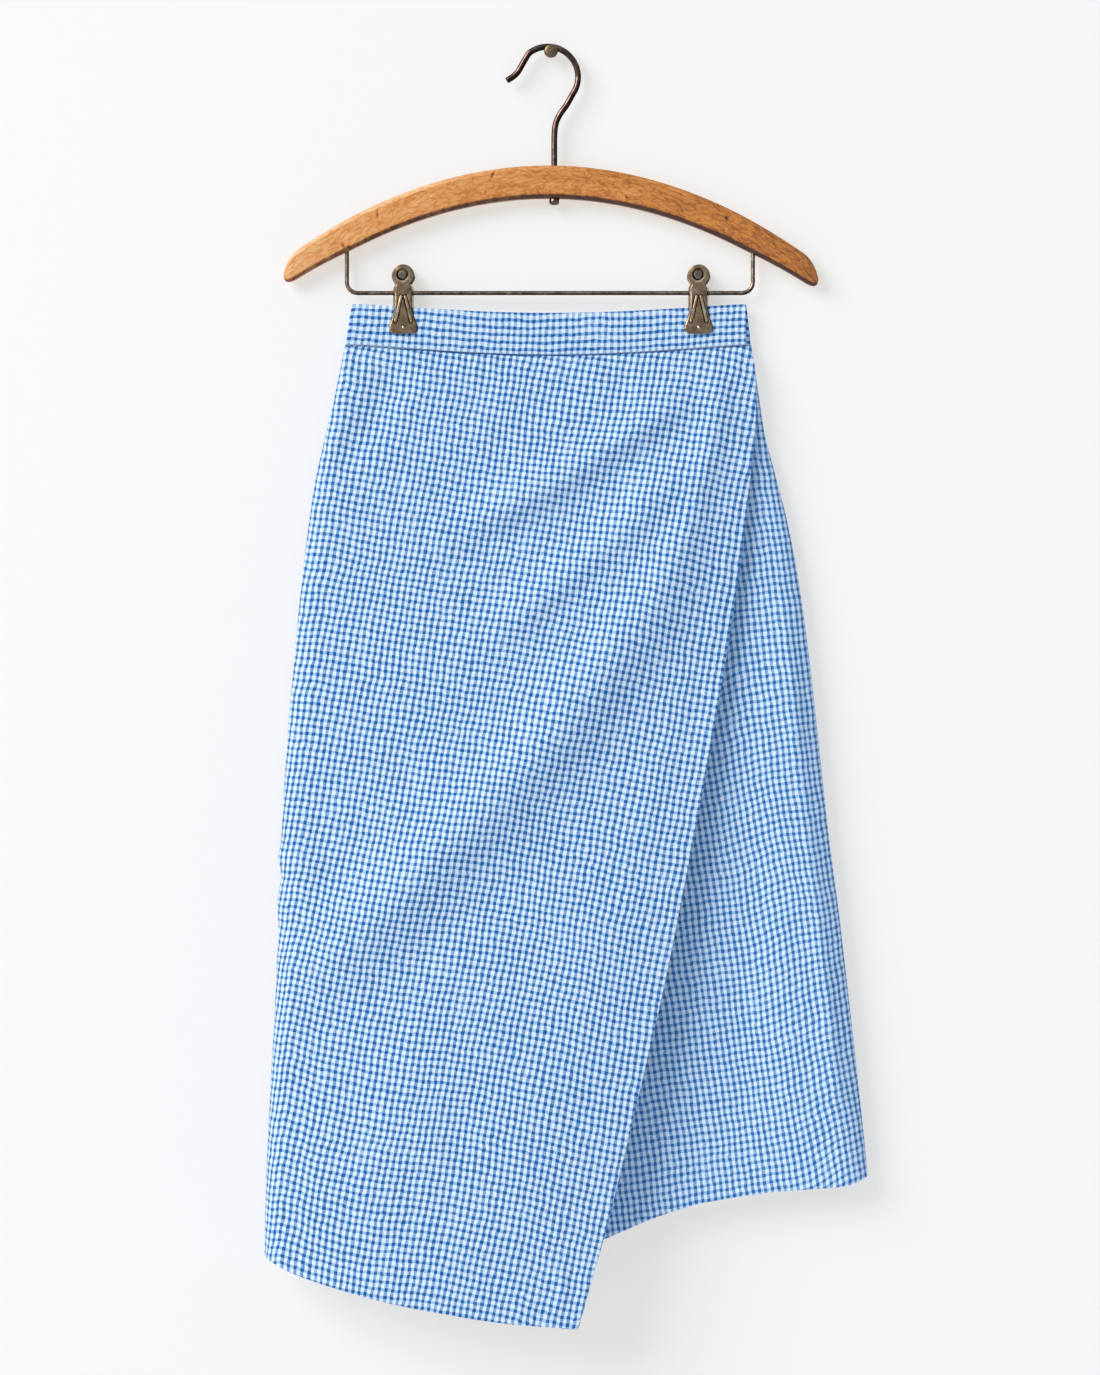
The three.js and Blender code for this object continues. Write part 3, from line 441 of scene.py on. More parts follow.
@dataclass
class Panel:
    """One panel: the side it starts at, -1 or 1, the column of its face, its free edge (or None for half
    of a panel), its hem and folds, how its corner rounds away, and the seed of its low waves."""

    side: int
    face: str
    edge: np.ndarray
    hem: np.ndarray
    folds: list
    corner_scale: float          # width of the corner, as a share of its column in the table
    corner_share: float          # share of the columns that lies in the corner
    gradual: float               # share of the depth that is reached slowly
    seed: int

    @property
    def outward(self):
        """Where the cloth's good side looks along Y."""
        return 1 if self.face == "back" else -1

    def corner(self, z):
        """Width over which the side rounds away."""
        return level(z, "turn" if self.gradual else "corner") * self.corner_scale

    def side_edge(self, z):
        """The side seam's place; on the left a pinch makes small bumps and dents in it."""
        if self.side > 0:
            return level(z, "right")
        return level(z, "left") + sum(depth * bell(z - at, reach) for at, depth, reach in LEFT_DENTS)

    def free_edge(self, z):
        """The free edge's place, or the middle of the skirt for half of a panel."""
        if self.edge is None:
            return (level(z, "left") + level(z, "right")) / 2
        return read_table(self.edge, z)

    def height(self, share, down):
        """Height of a point: its column meets the waist seam and the hem, and runs evenly between."""
        side_foot, free_foot = self.hem[0], self.hem[-1]
        if self.side > 0:
            side_foot, free_foot = free_foot, side_foot
        side_top = BAND_LEFT[1] if self.side < 0 else BAND_RIGHT[1]
        free_x = free_foot[0] if self.edge is not None else (side_foot[0] + free_foot[0]) / 2
        ends = ((WAIST, side_top, float(self.free_edge(WAIST))), (side_foot[1], side_foot[0], free_x))
        places = []
        for z, start, end in ends:
            distance = rounded_place(share, self.corner_share, self.corner(z), abs(end - start))
            places.append(start - self.side * distance)
        top = band_height(places[0], 1) - SEAM_GAP
        return top + (read_table(self.hem, places[1]) - top) * down

    def point(self, share, down):
        """Point of the cloth at the shares across and down, folds and all."""
        z = self.height(share, down)
        start = self.side_edge(z)
        corner = self.corner(z)
        distance = rounded_place(share, self.corner_share, corner, np.abs(self.free_edge(z) - start))
        x = start - self.side * distance
        seam = level(z, "seam_left" if self.side < 0 else "seam_right")
        gradual = self.gradual * ease(-z, *GRADUAL_FROM)
        y = rounded_depth(distance, corner, seam, level(z, self.face), gradual)
        lift = fold_lift(self.folds, x, z) + crumple(x, z, CRUMPLE, self.seed)
        lift *= fold_share(distance, corner, z)
        lift += seam_puckers(x, z, self.seed + 1) * ease(distance, 2, 12)
        below = band_height(x, 1) - z
        groove = SEAM_STEP * (1 - ease(below, 0, 7)) + SEAM_GROOVE * (1 - ease(below, 0.9, 2.2))
        lift -= groove * ease(distance, 0, 3)
        return grid_points(x, y + self.outward * lift, z)


def turned(count, length, both=True):
    """Shares, outward and inward steps of a row that ends in a turned edge. After the last share comes
    the half circle, outward TURN sin and inward TURN (1 - cos), and then the way back behind the edge."""
    shares = np.linspace(0, 1, count)
    if not both:
        return shares, np.zeros(count), np.zeros(count)
    angle = np.linspace(0, np.pi, 7)[1:]
    back = np.linspace(0, TURN_WIDTH, 6)[1:]
    return (
        np.r_[shares, np.ones(len(angle)), 1 - back / length],
        np.r_[np.zeros(count), TURN * np.sin(angle), np.zeros(len(back))],
        np.r_[np.zeros(count), TURN * (1 - np.cos(angle)), np.full(len(back), 2 * TURN)],
    )


def mean_of_rows(values, reach):
    """Mean of each row and its neighbours up to the reach above and below."""
    sums = np.cumsum(np.pad(values, ((reach + 1, reach), (0, 0)), mode="edge"), axis=0)
    return (sums[2 * reach + 1:] - sums[:-2 * reach - 1]) / (2 * reach + 1)


def flat_down(points):
    """Flat coordinate down the cloth: height of the first row less the length walked down each column."""
    return points[0, :, 2][None, :] - walked(points[..., 1:])


def panel_surface(panel, columns, rows, turn_edge=True):
    """Grid of points and their flat coordinates. Flat means measured along the cloth: across from the
    free edge and down from the waist seam, so that the checks keep their size over folds and sides."""
    share, side_out, side_in = turned(columns, ROW_LENGTH, turn_edge)
    down, hem_out, hem_in = turned(rows, COLUMN_LENGTH)
    share_grid, down_grid = np.meshgrid(share, down ** 1.3)
    ahead = np.minimum(share_grid + FINE_STEP, 1)
    across_step = unit(panel.point(ahead, down_grid) - panel.point(ahead - FINE_STEP, down_grid))
    lower = np.clip(down_grid + FINE_STEP, FINE_STEP, 1)
    down_step = unit(panel.point(share_grid, lower) - panel.point(share_grid, lower - FINE_STEP))
    normal = unit(np.cross(down_step, across_step))
    normal *= np.sign(panel.outward * normal[..., 1:2])
    out = across_step * side_out[None, :, None] + down_step * hem_out[:, None, None]
    inward = normal * (side_in[None, :] + hem_in[:, None])[..., None]
    points = panel.point(share_grid, down_grid) + out - inward
    along = walked(points[..., :2], axis=1)
    straight = np.abs(points[..., 0] - points[:, :1, 0])
    along = straight + mean_of_rows(along - straight, EVEN_ROWS)
    edge = slice(columns - 1, columns)
    flat_x = points[:, edge, 0] - panel.side * (along - along[:, edge])
    return points, np.stack([flat_x, flat_down(points)], axis=-1)


def turn_grain(flat, degrees):
    """Flat coordinates turned clockwise by the angle at which the panel's threads hang."""
    angle = np.radians(degrees)
    sine, cosine = np.sin(angle), np.cos(angle)
    x, z = flat[..., 0], flat[..., 1]
    return np.stack([x * cosine - z * sine, x * sine + z * cosine], axis=-1)


def mesh_area(points):
    """Area of a grid in square metres: each square counts as its two triangles."""
    a, b, c, d = points[:-1, :-1], points[:-1, 1:], points[1:, 1:], points[1:, :-1]
    halves = [np.linalg.norm(np.cross(*sides), axis=-1) for sides in ((b - a, c - a), (c - a, d - a))]
    return float(np.sum(halves) / 2 * MM * MM)


# %% Front overlap
DETAIL = 1.0
SEAM_SHADE = (0.7, 2.2)          # painted shade: the cloth's colour is darkened this close below the waist seam, in the crease


def over_pull(x, z):
    """Rows droop by 8 mm at the rounded left side below the hip, and by 7 mm beside the right clip."""
    droop = -8 * ease(-x, 150, 238) * ease(-z, 560, 850)
    return droop - 7 * ease(x, 10, 150) * (1 - ease(-z, 330, 540))


def under_pull(x, z):
    """Rows lie 9 mm lower towards the wrap edge, and 10 mm at the rounded right side below the hip."""
    beside_wrap = ease(x + (z + 560) * 0.21, 118, 175)
    return 9 * (1 - beside_wrap) - 10 * ease(x, 205, 264) * ease(-z, 480, 800)


def make_panel(name, node, panel, columns, rows, grain, pull, flip=False, tightness=1.0):
    """Panel with its turned edges, its flat coordinates and a thin wall on the inner side. The rows of
    checks are shifted down the cloth by the pull at each place; tightness draws the columns closer."""
    points, flat = panel_surface(panel, int(columns * DETAIL), int(rows * DETAIL))
    flat[..., 1] += pull(points[..., 0], points[..., 2])
    flat[..., 0] *= tightness
    piece = add_piece(name, node, "gingham_cloth", points, turn_grain(flat, grain), flip=flip)
    # painted shade: the seam number darkens the checks in the crease just below the waist seam
    add_attribute(piece, "seam", 1 - ease(band_height(points[..., 0], 1) - points[..., 2], *SEAM_SHADE))
    give_thickness(piece, PANEL_CLOTH)
    print(name, "cloth area in m2:", round(mesh_area(points), 4))
    return piece


over_panel = Panel(
    side=-1, face="over", edge=WRAP_EDGE, hem=OVER_HEM, folds=OVER_FOLDS + OVER_CREASES,
    corner_scale=1.0, corner_share=0.1, gradual=0.55, seed=11,
)
overlap = make_panel(
    "skirt_front_overlap", "front_overlap", over_panel, 150, 270, grain=10.0, pull=over_pull, flip=True,
)

# %% Front under panel
under_panel = Panel(
    side=1, face="under", edge=UNDER_EDGE, hem=UNDER_HEM, folds=UNDER_FOLDS + UNDER_CREASES,
    corner_scale=0.6, corner_share=5 / 12, gradual=0, seed=23,
)
under = make_panel(
    "skirt_front_under", "front_under", under_panel, 130, 240, grain=-8.0, pull=under_pull, tightness=1.06,
)

# %% [markdown]
# ## The back panel
# The back runs between both side seams. It is made as two halves that meet in the middle, joined in one
# grid, because each half rounds away at its own side.

# %% Back panel
def back_surface(columns, rows):
    """Left half, then the right half's mirror-image columns, on the same levels."""
    halves = []
    for side in (-1, 1):
        half = Panel(
            side=side, face="back", edge=None, hem=BACK_HEM, folds=BACK_FOLDS + BACK_CREASES,
            corner_scale=1.0, corner_share=0.5, gradual=0, seed=37,
        )
        halves.append(panel_surface(half, columns, rows, turn_edge=False)[0])
    points = np.concatenate([halves[0], halves[1][:, -2::-1]], axis=1)
    along = walked(points[..., :2], axis=1)
    return points, np.stack([along - along[:, columns - 1:columns], flat_down(points)], axis=-1)


back_points, back_flat = back_surface(int(84 * DETAIL), int(230 * DETAIL))
back = add_piece("skirt_back", "back_panel", "gingham_cloth", back_points, turn_grain(back_flat, 1.5))
give_thickness(back, PANEL_CLOTH)

# %% [markdown]
# ## The waistband
# The band is cloth folded double round a stiffener, so it has a plump section with a round top fold.
# Its section is a closed profile that is carried along the strip's route: from the wrap end across the
# front, round the left side, along the back, round the right side and on underneath.

# %% Waistband
def band_plan(left, right):
    """Middle line of the strip in plan, at one level: straights joined by half circles at the sides."""
    middle = BAND_FACE - BAND_CLOTH / 2
    inner = UNDER_FACE + BAND_CLOTH / 2
    right_turn = (middle - inner) / 2
    left_centre = left + BAND_FACE
    right_centre = right - BAND_CLOTH / 2 - right_turn
    angle = np.linspace(0, np.pi, 13)[1:-1]
    sine, cosine = np.sin(angle), np.cos(angle)
    parts = [
        (np.linspace(WRAP_END, left_centre, 150), -middle),
        (left_centre - middle * sine, -middle * cosine),
        (np.linspace(left_centre, right_centre, 120), middle),
        (right_centre + right_turn * sine, inner + right_turn + right_turn * cosine),
        (np.linspace(right_centre, UNDER_END, 100), inner),
    ]
    return np.concatenate([np.stack(np.broadcast_arrays(x, y), axis=-1) for x, y in parts])


def band_surface(half_count=23):
    """Profile carried along the route: half thickness w (1 - ((2h - 1)^2)^4)^0.5 over the height h, so
    the faces are flat and both long edges round."""
    half_loop = 0.5 - 0.5 * np.cos(np.linspace(0, np.pi, half_count))
    heights = np.r_[half_loop, half_loop[-2:0:-1]]
    sides = np.r_[np.full(half_count, 1.0), np.full(half_count - 2, -1.0)]
    half = BAND_CLOTH / 2 * np.sqrt(np.maximum(1 - np.abs(2 * heights - 1) ** 8, 0)) * sides
    top, foot = [band_plan(left, right) for left, right in zip(BAND_LEFT, BAND_RIGHT)]
    middle = top[:, None] * (1 - heights)[None, :, None] + foot[:, None] * heights[None, :, None]
    way = unit(np.gradient(foot, axis=0))
    outward = np.stack([-way[:, 1], way[:, 0]], axis=-1)
    plan = middle + outward[:, None] * half[None, :, None]
    points = grid_points(plan[..., 0], plan[..., 1], band_height(middle[..., 0], heights[None, :]))
    flat = np.broadcast_arrays(-walked(foot)[:, None], -(heights * BAND_STRIP)[None, :])
    return points, np.stack(flat, axis=-1)


band = add_piece("skirt_waistband", "waistband", "gingham_cloth", *band_surface(), tube=True)

# %% [markdown]
# ## Gingham
# Gingham is woven from blue and white yarns in equal stripes, both ways. So the colour comes from the
# sum of two stripe patterns over the cloth's own flat coordinates.

# %% Material helpers
def new_material(name):
    """Node material with its shader and tree."""
    material = bpy.data.materials.new(name)
    material.use_nodes = True
    return material, material.node_tree, material.node_tree.nodes["Principled BSDF"]


def link(tree, source, target):
    tree.links.new(source, target)


def set_sockets(node, values):
    """Constant values on a node's own sockets, by their names."""
    for name, value in values.items():
        node.inputs[name].default_value = value


def maths(tree, operation, *operands, clamp=False, kind="ShaderNodeMath"):
    """One arithmetic node; each operand is a socket, a number or three numbers."""
    node = tree.nodes.new(kind)
    node.operation = operation
    if clamp:
        node.use_clamp = True
    for socket, value in zip(node.inputs, operands):
        if isinstance(value, (int, float, tuple)):
            socket.default_value = value
        else:
            link(tree, value, socket)
    return node.outputs[0]


def vector_maths(tree, operation, first, second):
    return maths(tree, operation, first, second, kind="ShaderNodeVectorMath")


def scaled_sum(tree, value, factor, plus, clamp=False):
    """value x factor + plus."""
    return maths(tree, "ADD", maths(tree, "MULTIPLY", value, factor), plus, clamp=clamp)


def noise(tree, vector, scale, detail=2.0, roughness=0.5):
    """Noise over a vector; scale is in waves per metre. Gives its value and its colour."""
    node = tree.nodes.new("ShaderNodeTexNoise")
    set_sockets(node, {"Scale": scale, "Detail": detail, "Roughness": roughness})
    link(tree, vector, node.inputs["Vector"])
    return node.outputs[0], node.outputs[1]


def flat_place(tree):
    """The piece's own flat coordinates, in metres along its surface."""
    node = tree.nodes.new("ShaderNodeUVMap")
    node.uv_map = "flat"
    return node.outputs[0]


def own_number(tree, name):
    """The number that the piece's points carry under a name, 0 where they carry none."""
    node = tree.nodes.new("ShaderNodeAttribute")
    node.attribute_name = name
    return node.outputs["Fac"]


def coordinates_of(tree, vector):
    """Sockets of the three coordinates of a vector."""
    node = tree.nodes.new("ShaderNodeSeparateXYZ")
    link(tree, vector, node.inputs[0])
    return tuple(node.outputs)


def wobble(tree, place, flat, scale, amount, detail=1.0):
    """Place + amount x (colour of a noise over the flat coordinates - a half)."""
    _, drift = noise(tree, flat, scale, detail)
    drift = vector_maths(tree, "SUBTRACT", drift, (0.5, 0.5, 0.5))
    return vector_maths(tree, "ADD", place, vector_maths(tree, "MULTIPLY", drift, (amount,) * 3))


def linear(red, green, blue):
    """Screen colour, 0 to 255, as the linear colour that a shader takes."""
    share = np.array([red, green, blue]) / 255
    return tuple(np.where(share <= 0.04045, share / 12.92, ((share + 0.055) / 1.055) ** 2.4)) + (1.0,)


def ramp(tree, value, stops):
    """Colour that changes smoothly between stops of place and screen colour."""
    node = tree.nodes.new("ShaderNodeValToRGB")
    elements = node.color_ramp.elements
    while len(elements) < len(stops):
        elements.new(0.5)
    for element, (place, color) in zip(elements, stops):
        element.position = place
        element.color = linear(*color)
    link(tree, value, node.inputs["Fac"])
    return node.outputs["Color"]


def bump(tree, shader, height, strength, distance):
    """Small relief from a height value, in metres of distance."""
    node = tree.nodes.new("ShaderNodeBump")
    set_sockets(node, {"Strength": strength, "Distance": distance})
    link(tree, height, node.inputs["Height"])
    link(tree, node.outputs["Normal"], shader.inputs["Normal"])


# %% Gingham material
CHECK_ACROSS = 0.00535           # one blue and one white stripe, in metres
CHECK_DOWN = 0.00602
THREAD = 0.00034                 # one yarn and its gap
DRIFTS = ((7.0, 0.009), (26.0, 0.0026), (85.0, 0.0018), (230.0, 0.0014))  # waves a metre, metres of drift
STRIPE_EDGE = 3.8                # how quickly a stripe turns from white to blue
STRIPE_BIAS = 0.35               # widens the upright blue stripes and narrows the level ones
UNEVEN_YARN = (0.7, 0.62)        # shares of a stripe's strength that vary and that are always there
FADING = 0.3                     # how much the strength of the checks varies from place to place
SEAM_PAINTED_SHADE = 0.75
GINGHAM_STOPS = [
    (0.0, (225, 239, 252)), (0.42, (156, 191, 227)), (0.58, (113, 160, 209)), (0.93, (16, 88, 156)),
]


def gingham(name, phase_down=0.0, warp=0.578, through=(0.0, 0.0, 0.0)):
    """Two sets of stripes over the wobbling flat coordinates, with yarns, slubs and a soft sheen, and
    painted shade in the crease under the waist seam. warp is the share of the colour that the upright
    stripes give, the rest comes from the stripes across. through is a faint painted glow, an emission that
    stands in for the light that comes through a single layer from the pale wall behind it."""
    material, tree, shader = new_material(name)
    flat = flat_place(tree)
    place = flat
    for scale, amount in DRIFTS:
        place = wobble(tree, place, flat, scale, amount)
    across, down, _ = coordinates_of(tree, place)
    amounts = []
    for value, pitch, stretch, bias, weight in (
        (across, CHECK_ACROSS, (1, 0.1, 1), STRIPE_BIAS, warp),
        (maths(tree, "ADD", down, phase_down), CHECK_DOWN, (0.1, 1, 1), -STRIPE_BIAS, 1 - warp),
    ):
        wave = maths(tree, "SINE", maths(tree, "MULTIPLY", value, 2 * np.pi / pitch))
        stripe = scaled_sum(tree, wave, STRIPE_EDGE, bias, clamp=True)
        uneven, _ = noise(tree, vector_maths(tree, "MULTIPLY", place, stretch), 260.0, 1.0)
        uneven = scaled_sum(tree, uneven, UNEVEN_YARN[0] * weight, UNEVEN_YARN[1] * weight)
        amounts.append(maths(tree, "MULTIPLY", stripe, uneven))
    fade, _ = noise(tree, flat, 320.0, 1.0)
    both = scaled_sum(tree, maths(tree, "SUBTRACT", fade, 0.5), FADING, maths(tree, "ADD", *amounts))
    # painted shade in the crease under the waist seam, where the points carry a seam number
    both = scaled_sum(tree, own_number(tree, "seam"), SEAM_PAINTED_SHADE, both, clamp=True)
    link(tree, ramp(tree, both, GINGHAM_STOPS), shader.inputs["Base Color"])
    yarn_turn = 2 * np.pi / THREAD
    yarns = [maths(tree, "SINE", maths(tree, "MULTIPLY", value, yarn_turn)) for value in (across, down)]
    slub, _ = noise(tree, flat, 900.0, 2.0)
    bump(tree, shader, scaled_sum(tree, maths(tree, "MULTIPLY", *yarns), 0.25, slub), 0.35, 0.00025)
    # the emission is the painted glow given by through
    set_sockets(shader, {
        "Roughness": 0.85, "Specular IOR Level": 0.25, "Sheen Weight": 0.12, "Sheen Roughness": 0.5,
        "Emission Color": (*through, 1.0), "Emission Strength": 1.0 if any(through) else 0.0,
    })
    return material


panel_gingham = gingham("gingham_panel")
overlap.data.materials.append(panel_gingham)
back.data.materials.append(panel_gingham)
# painted glow: a faint blue emission on the under panel stands in for light that comes through its single
# layer
under.data.materials.append(gingham("gingham_under_painted_glow", through=(0.014, 0.036, 0.062)))
band.data.materials.append(gingham("gingham_band", phase_down=0.0012, warp=0.46))

# %% [markdown]
# ## The wooden hanger
# The arch is one piece of beech, cut from a board, with its long edges rounded over and its ends
# rounded. It is a rounded section carried along a parabola: the drop below the crown grows with the
# square of the distance from the middle. Grain follows the length, so its pattern uses the arch's own
# length and height as flat coordinates.

# %% Hanger arch
WOOD_LENGTH = 438.0
WOOD_HEIGHT = 26.6
WOOD_SLIM = 4.0                  # how much lower the arch is near its ends
WOOD_DEPTH = 12.0
WOOD_CROWN = -95.2
WOOD_DROP = 0.001622
WOOD_TILT = 0.0075
WOOD_ROUND = (2.6, 4.0)          # depth and height of the softened bevel along each edge
WOOD_TIP = 12.5                  # length of the rounding at each end
NICKS = [
    # place across, share of the height from the top, half width, half height, slant, depth
    (-142, 0.31, 0.9, 3.2, -0.1, 0.7), (-47, 0.15, 1.0, 2.2, 0.5, 0.8), (-170, 0.78, 1.0, 2.8, -0.5, 0.6),
    (-165, 0.92, 0.9, 2.6, -0.9, 0.6), (144, 0.34, 1.3, 1.6, 0, 0.6), (62, 0.74, 1.1, 1.3, 0, 0.4),
]


def arch_drop(x):
    """Drop of the arch below its crown: a parabola, and a little tilt to the right."""
    return WOOD_DROP * x * x + WOOD_TILT * x


def arch_surface(rows):
    """Bevelled section at each place along the arch: each corner is the mean of a quarter ellipse and its
    chord. Near an end the height shrinks as the rim of a circle does. The tone is above 0 in nicks, where
    the stain gathered, and on the lower bevel as painted shade, and below 0 on the upper bevel as painted
    highlight, most towards the left end."""
    end = WOOD_LENGTH / 2
    angle = np.linspace(-np.pi / 2, np.pi / 2, rows)
    spread = np.linspace(-1, 1, rows)
    x = end * (0.86 * spread + 0.14 * np.sin(angle))
    tip = np.clip((np.abs(x) - (end - WOOD_TIP)) / WOOD_TIP, 0, 1)
    shrink = np.sqrt(np.maximum(1 - tip ** 2.2, 0.0004))
    height = (WOOD_HEIGHT - WOOD_SLIM * ease(np.abs(x), 150, end)) * shrink
    middle = WOOD_CROWN - arch_drop(x) - WOOD_HEIGHT / 2 - 2.0 * tip ** 2
    middle += 1.2 * ease(np.abs(x) / end, 0.7, 1.0)
    depth = WOOD_DEPTH * (1 - 0.35 * (1 - shrink))
    corner_angle = np.linspace(0, np.pi / 2, 9)
    along_corner = corner_angle / (np.pi / 2)
    face = np.sin(np.linspace(-np.pi / 2, np.pi / 2, 18))[1:-1]
    edge_y, edge_z = [np.minimum(reach, height * 0.3)[:, None] for reach in WOOD_ROUND]
    flat_y, flat_z = depth[:, None] / 2 - edge_y, height[:, None] / 2 - edge_z
    quarters = []
    for quarter, (out_y, out_z) in enumerate([(1, 1), (-1, 1), (-1, -1), (1, -1)]):
        start = quarter * np.pi / 2
        rounding = []
        for wave in (np.cos, np.sin):
            chord = (1 - along_corner) * wave(start) + along_corner * wave(start + np.pi / 2)
            rounding.append((wave(start + corner_angle) + chord) / 2)
        quarters.append((out_y * flat_y + edge_y * rounding[0], out_z * flat_z + edge_z * rounding[1]))
        if quarter in (1, 3):
            quarters.append((out_y * (flat_y + edge_y) + 0 * face, -out_z * flat_z * face))
    y = -np.concatenate([part[0] for part in quarters], axis=1)
    rise = np.concatenate([part[1] for part in quarters], axis=1)
    points = grid_points(x[:, None], y, middle[:, None] + rise)
    share = 0.5 - rise / height[:, None]
    stain_and_painted_light = np.zeros_like(y)
    for place, at_height, half_width, half_height, slant, deep in NICKS:
        up = (at_height - share) * WOOD_HEIGHT
        near = bell(x[:, None] - place - slant * up, half_width) * bell(up, half_height) * (y < 0)
        points[..., 1] += deep * near
        stain_and_painted_light = np.maximum(stain_and_painted_light, near)
    # painted shade on the lower bevel
    stain_and_painted_light += ease(share, 0.86, 0.92) * (y < 2)
    # painted highlight on the upper bevel, strongest towards the left end
    stain_and_painted_light -= 0.3 * (1 - ease(share, 0.09, 0.14)) * (0.2 + 0.8 * ease(-x, -60, 90))[:, None]
    uv = np.stack(np.broadcast_arrays(x[:, None], rise + y + depth[:, None] / 2), axis=-1)
    return points, uv, stain_and_painted_light


arch_points, arch_uv, arch_stain_and_painted_light = arch_surface(640)
arch = add_piece("hanger_arch", "hanger_wood", "hanger_wood", arch_points, arch_uv, tube=True)
add_attribute(arch, "stain_and_painted_light", arch_stain_and_painted_light)

# %% Wood material
FLECK_EDGE = 13.0                # how sharply a fleck stands out
PAINTED_SHADE_SLOPE = 0.78               # painted shade: how much darker the colour gets over a metre to the right
WOOD_STOPS = [
    (0.05, (72, 36, 10)), (0.3, (158, 92, 34)), (0.5, (205, 128, 52)), (0.7, (226, 160, 96)),
    (0.9, (244, 200, 152)),
]


def beech():
    """Long soft bands, thin wavy flecks along the grain and darker nicks, under a satin varnish. The
    colour is painted paler at the left end and darker at the right as painted shade, and the bevels carry
    painted shade below and painted highlight above."""
    material, tree, shader = new_material("stained_beech")
    flat = flat_place(tree)
    grain = wobble(tree, flat, flat, 22.0, 0.006, 2.0)
    bands, _ = noise(tree, vector_maths(tree, "MULTIPLY", grain, (1.0, 6.0, 1.0)), 22.0, 4.0, 0.6)
    tone = scaled_sum(tree, bands, 0.5, 0.345)
    for stretch, scale, weight in ((2.4, 95.0, 0.17), (3.2, 170.0, 0.12)):
        flecks, _ = noise(tree, vector_maths(tree, "MULTIPLY", grain, (1.0, stretch, 1.0)), scale, 1.0)
        from_line = maths(tree, "ABSOLUTE", maths(tree, "SUBTRACT", flecks, 0.5))
        tone = scaled_sum(tree, scaled_sum(tree, from_line, -FLECK_EDGE, 1.0, clamp=True), -weight, tone)
    # painted shade: darker towards the right end, away from the light
    tone = scaled_sum(tree, coordinates_of(tree, flat)[0], -PAINTED_SHADE_SLOPE, tone)
    # stain in the nicks, with painted shade on the lower bevel and painted highlight on the upper one
    tone = scaled_sum(tree, own_number(tree, "stain_and_painted_light"), -0.5, tone, clamp=True)
    link(tree, ramp(tree, tone, WOOD_STOPS), shader.inputs["Base Color"])
    bump(tree, shader, tone, 0.2, 0.0003)
    set_sockets(shader, {"Roughness": 0.48, "Coat Weight": 0.06, "Coat Roughness": 0.35})
    return material


arch.data.materials.append(beech())

# %% [markdown]
# ## Wires
# The hook and the bar are bent wires. A wire is a circle carried along a route, standing square to it.
# The routes lie in the hanger's plane, so the circle's two axes are the route's own normal and +Y.

# %% Wire helper
def arc(x, z, radius, start, end, count):
    """Points of an arc in the hanger's plane, angles in degrees from +X towards +Z."""
    angle = np.radians(np.linspace(start, end, count + 1))
    return np.stack([x + radius * np.cos(angle), z + radius * np.sin(angle)], axis=-1)


def wire(name, node, route, radius, steps, sides=24, end_round=0.35):
    """Circle carried along the route, its ends a little smaller. Its colour is painted darker where the
    wire faces down and to the right, away from the light, and a little darker where it faces up and
    slightly left: painted shade."""
    flat = smooth_route(route, steps)
    way = unit(np.gradient(flat, axis=0))
    across = np.stack([-way[:, 1], way[:, 0]], axis=-1)
    reach = np.full((steps, 1), radius)
    reach[[0, -1]] -= end_round
    around = np.linspace(0, 2 * np.pi, sides + 1)[:-1]
    x = flat[:, 0:1] + across[:, 0:1] * np.cos(around) * reach
    z = flat[:, 1:2] + across[:, 1:2] * np.cos(around) * reach
    piece = add_piece(name, node, "hook_steel", grid_points(x, np.sin(around) * reach, z), tube=True)
    # painted shade: darker where the surface faces down and to the right, and a little where it faces up
    facing = (0.5 * across[:, 0:1] - 0.87 * across[:, 1:2]) * np.cos(around)
    painted_shade = 1.1 * ease(facing, -0.1, 0.65) + 0.7 * ease(-facing, 0.55, 0.85)
    add_attribute(piece, "painted_light", -painted_shade)
    return piece


# %% Hook and bar
HOOK_WIRE = 5.1
SHANK = 2.8
CROWN = (-2.5, -22.1, 24.8)      # centre across, its height, and the radius of the wire's middle line
hook_route = np.concatenate([
    [(-36.3, -25.2), (-31.2, -21.9), (-27.8, -18.8), (-25.4, -15.2), (-23.3, -11.4), (-21.1, -7.6)],
    arc(*CROWN, 128, -36, 12),
    [(12.6, -45.4), (7.8, -52), (4.5, -58.8), (3.1, -66), (SHANK, -76), (SHANK, -100), (SHANK, -126)],
])
hook = wire("hanger_hook_wire", "hanger_hook", hook_route, HOOK_WIRE / 2, 190)

BAR_WIRE = 3.5
BAR_HEIGHT = -199.3
BAR_SIDES = (-167.3, 165.6)
BAR_BEND = 9.0
LEG_IN_WOOD = 12.0               # how far the bar's legs reach up into the wood


def bar_leg(side):
    """Two points of an upright leg of the bar: its end inside the wood, and the start of the bend."""
    x = BAR_SIDES[side]
    return [(x, WOOD_CROWN - arch_drop(x) - WOOD_HEIGHT + LEG_IN_WOOD), (x, BAR_HEIGHT + BAR_BEND + 3)]


bends = [BAR_SIDES[0] + BAR_BEND, BAR_SIDES[1] - BAR_BEND]
bar_route = np.concatenate([
    bar_leg(0),
    arc(bends[0], BAR_HEIGHT + BAR_BEND, BAR_BEND, 180, 270, 4),
    [(bends[0] + 3, BAR_HEIGHT), (0, BAR_HEIGHT), (bends[1] - 3, BAR_HEIGHT)],
    arc(bends[1], BAR_HEIGHT + BAR_BEND, BAR_BEND, 270, 360, 4),
    bar_leg(1)[::-1],
])
bar = wire("hanger_bar_wire", "hanger_bar", bar_route, BAR_WIRE / 2, 320)

# %% [markdown]
# ## Turned parts
# The nut under the wood and the pin's head are round about an axis. Their profile is spun about it.

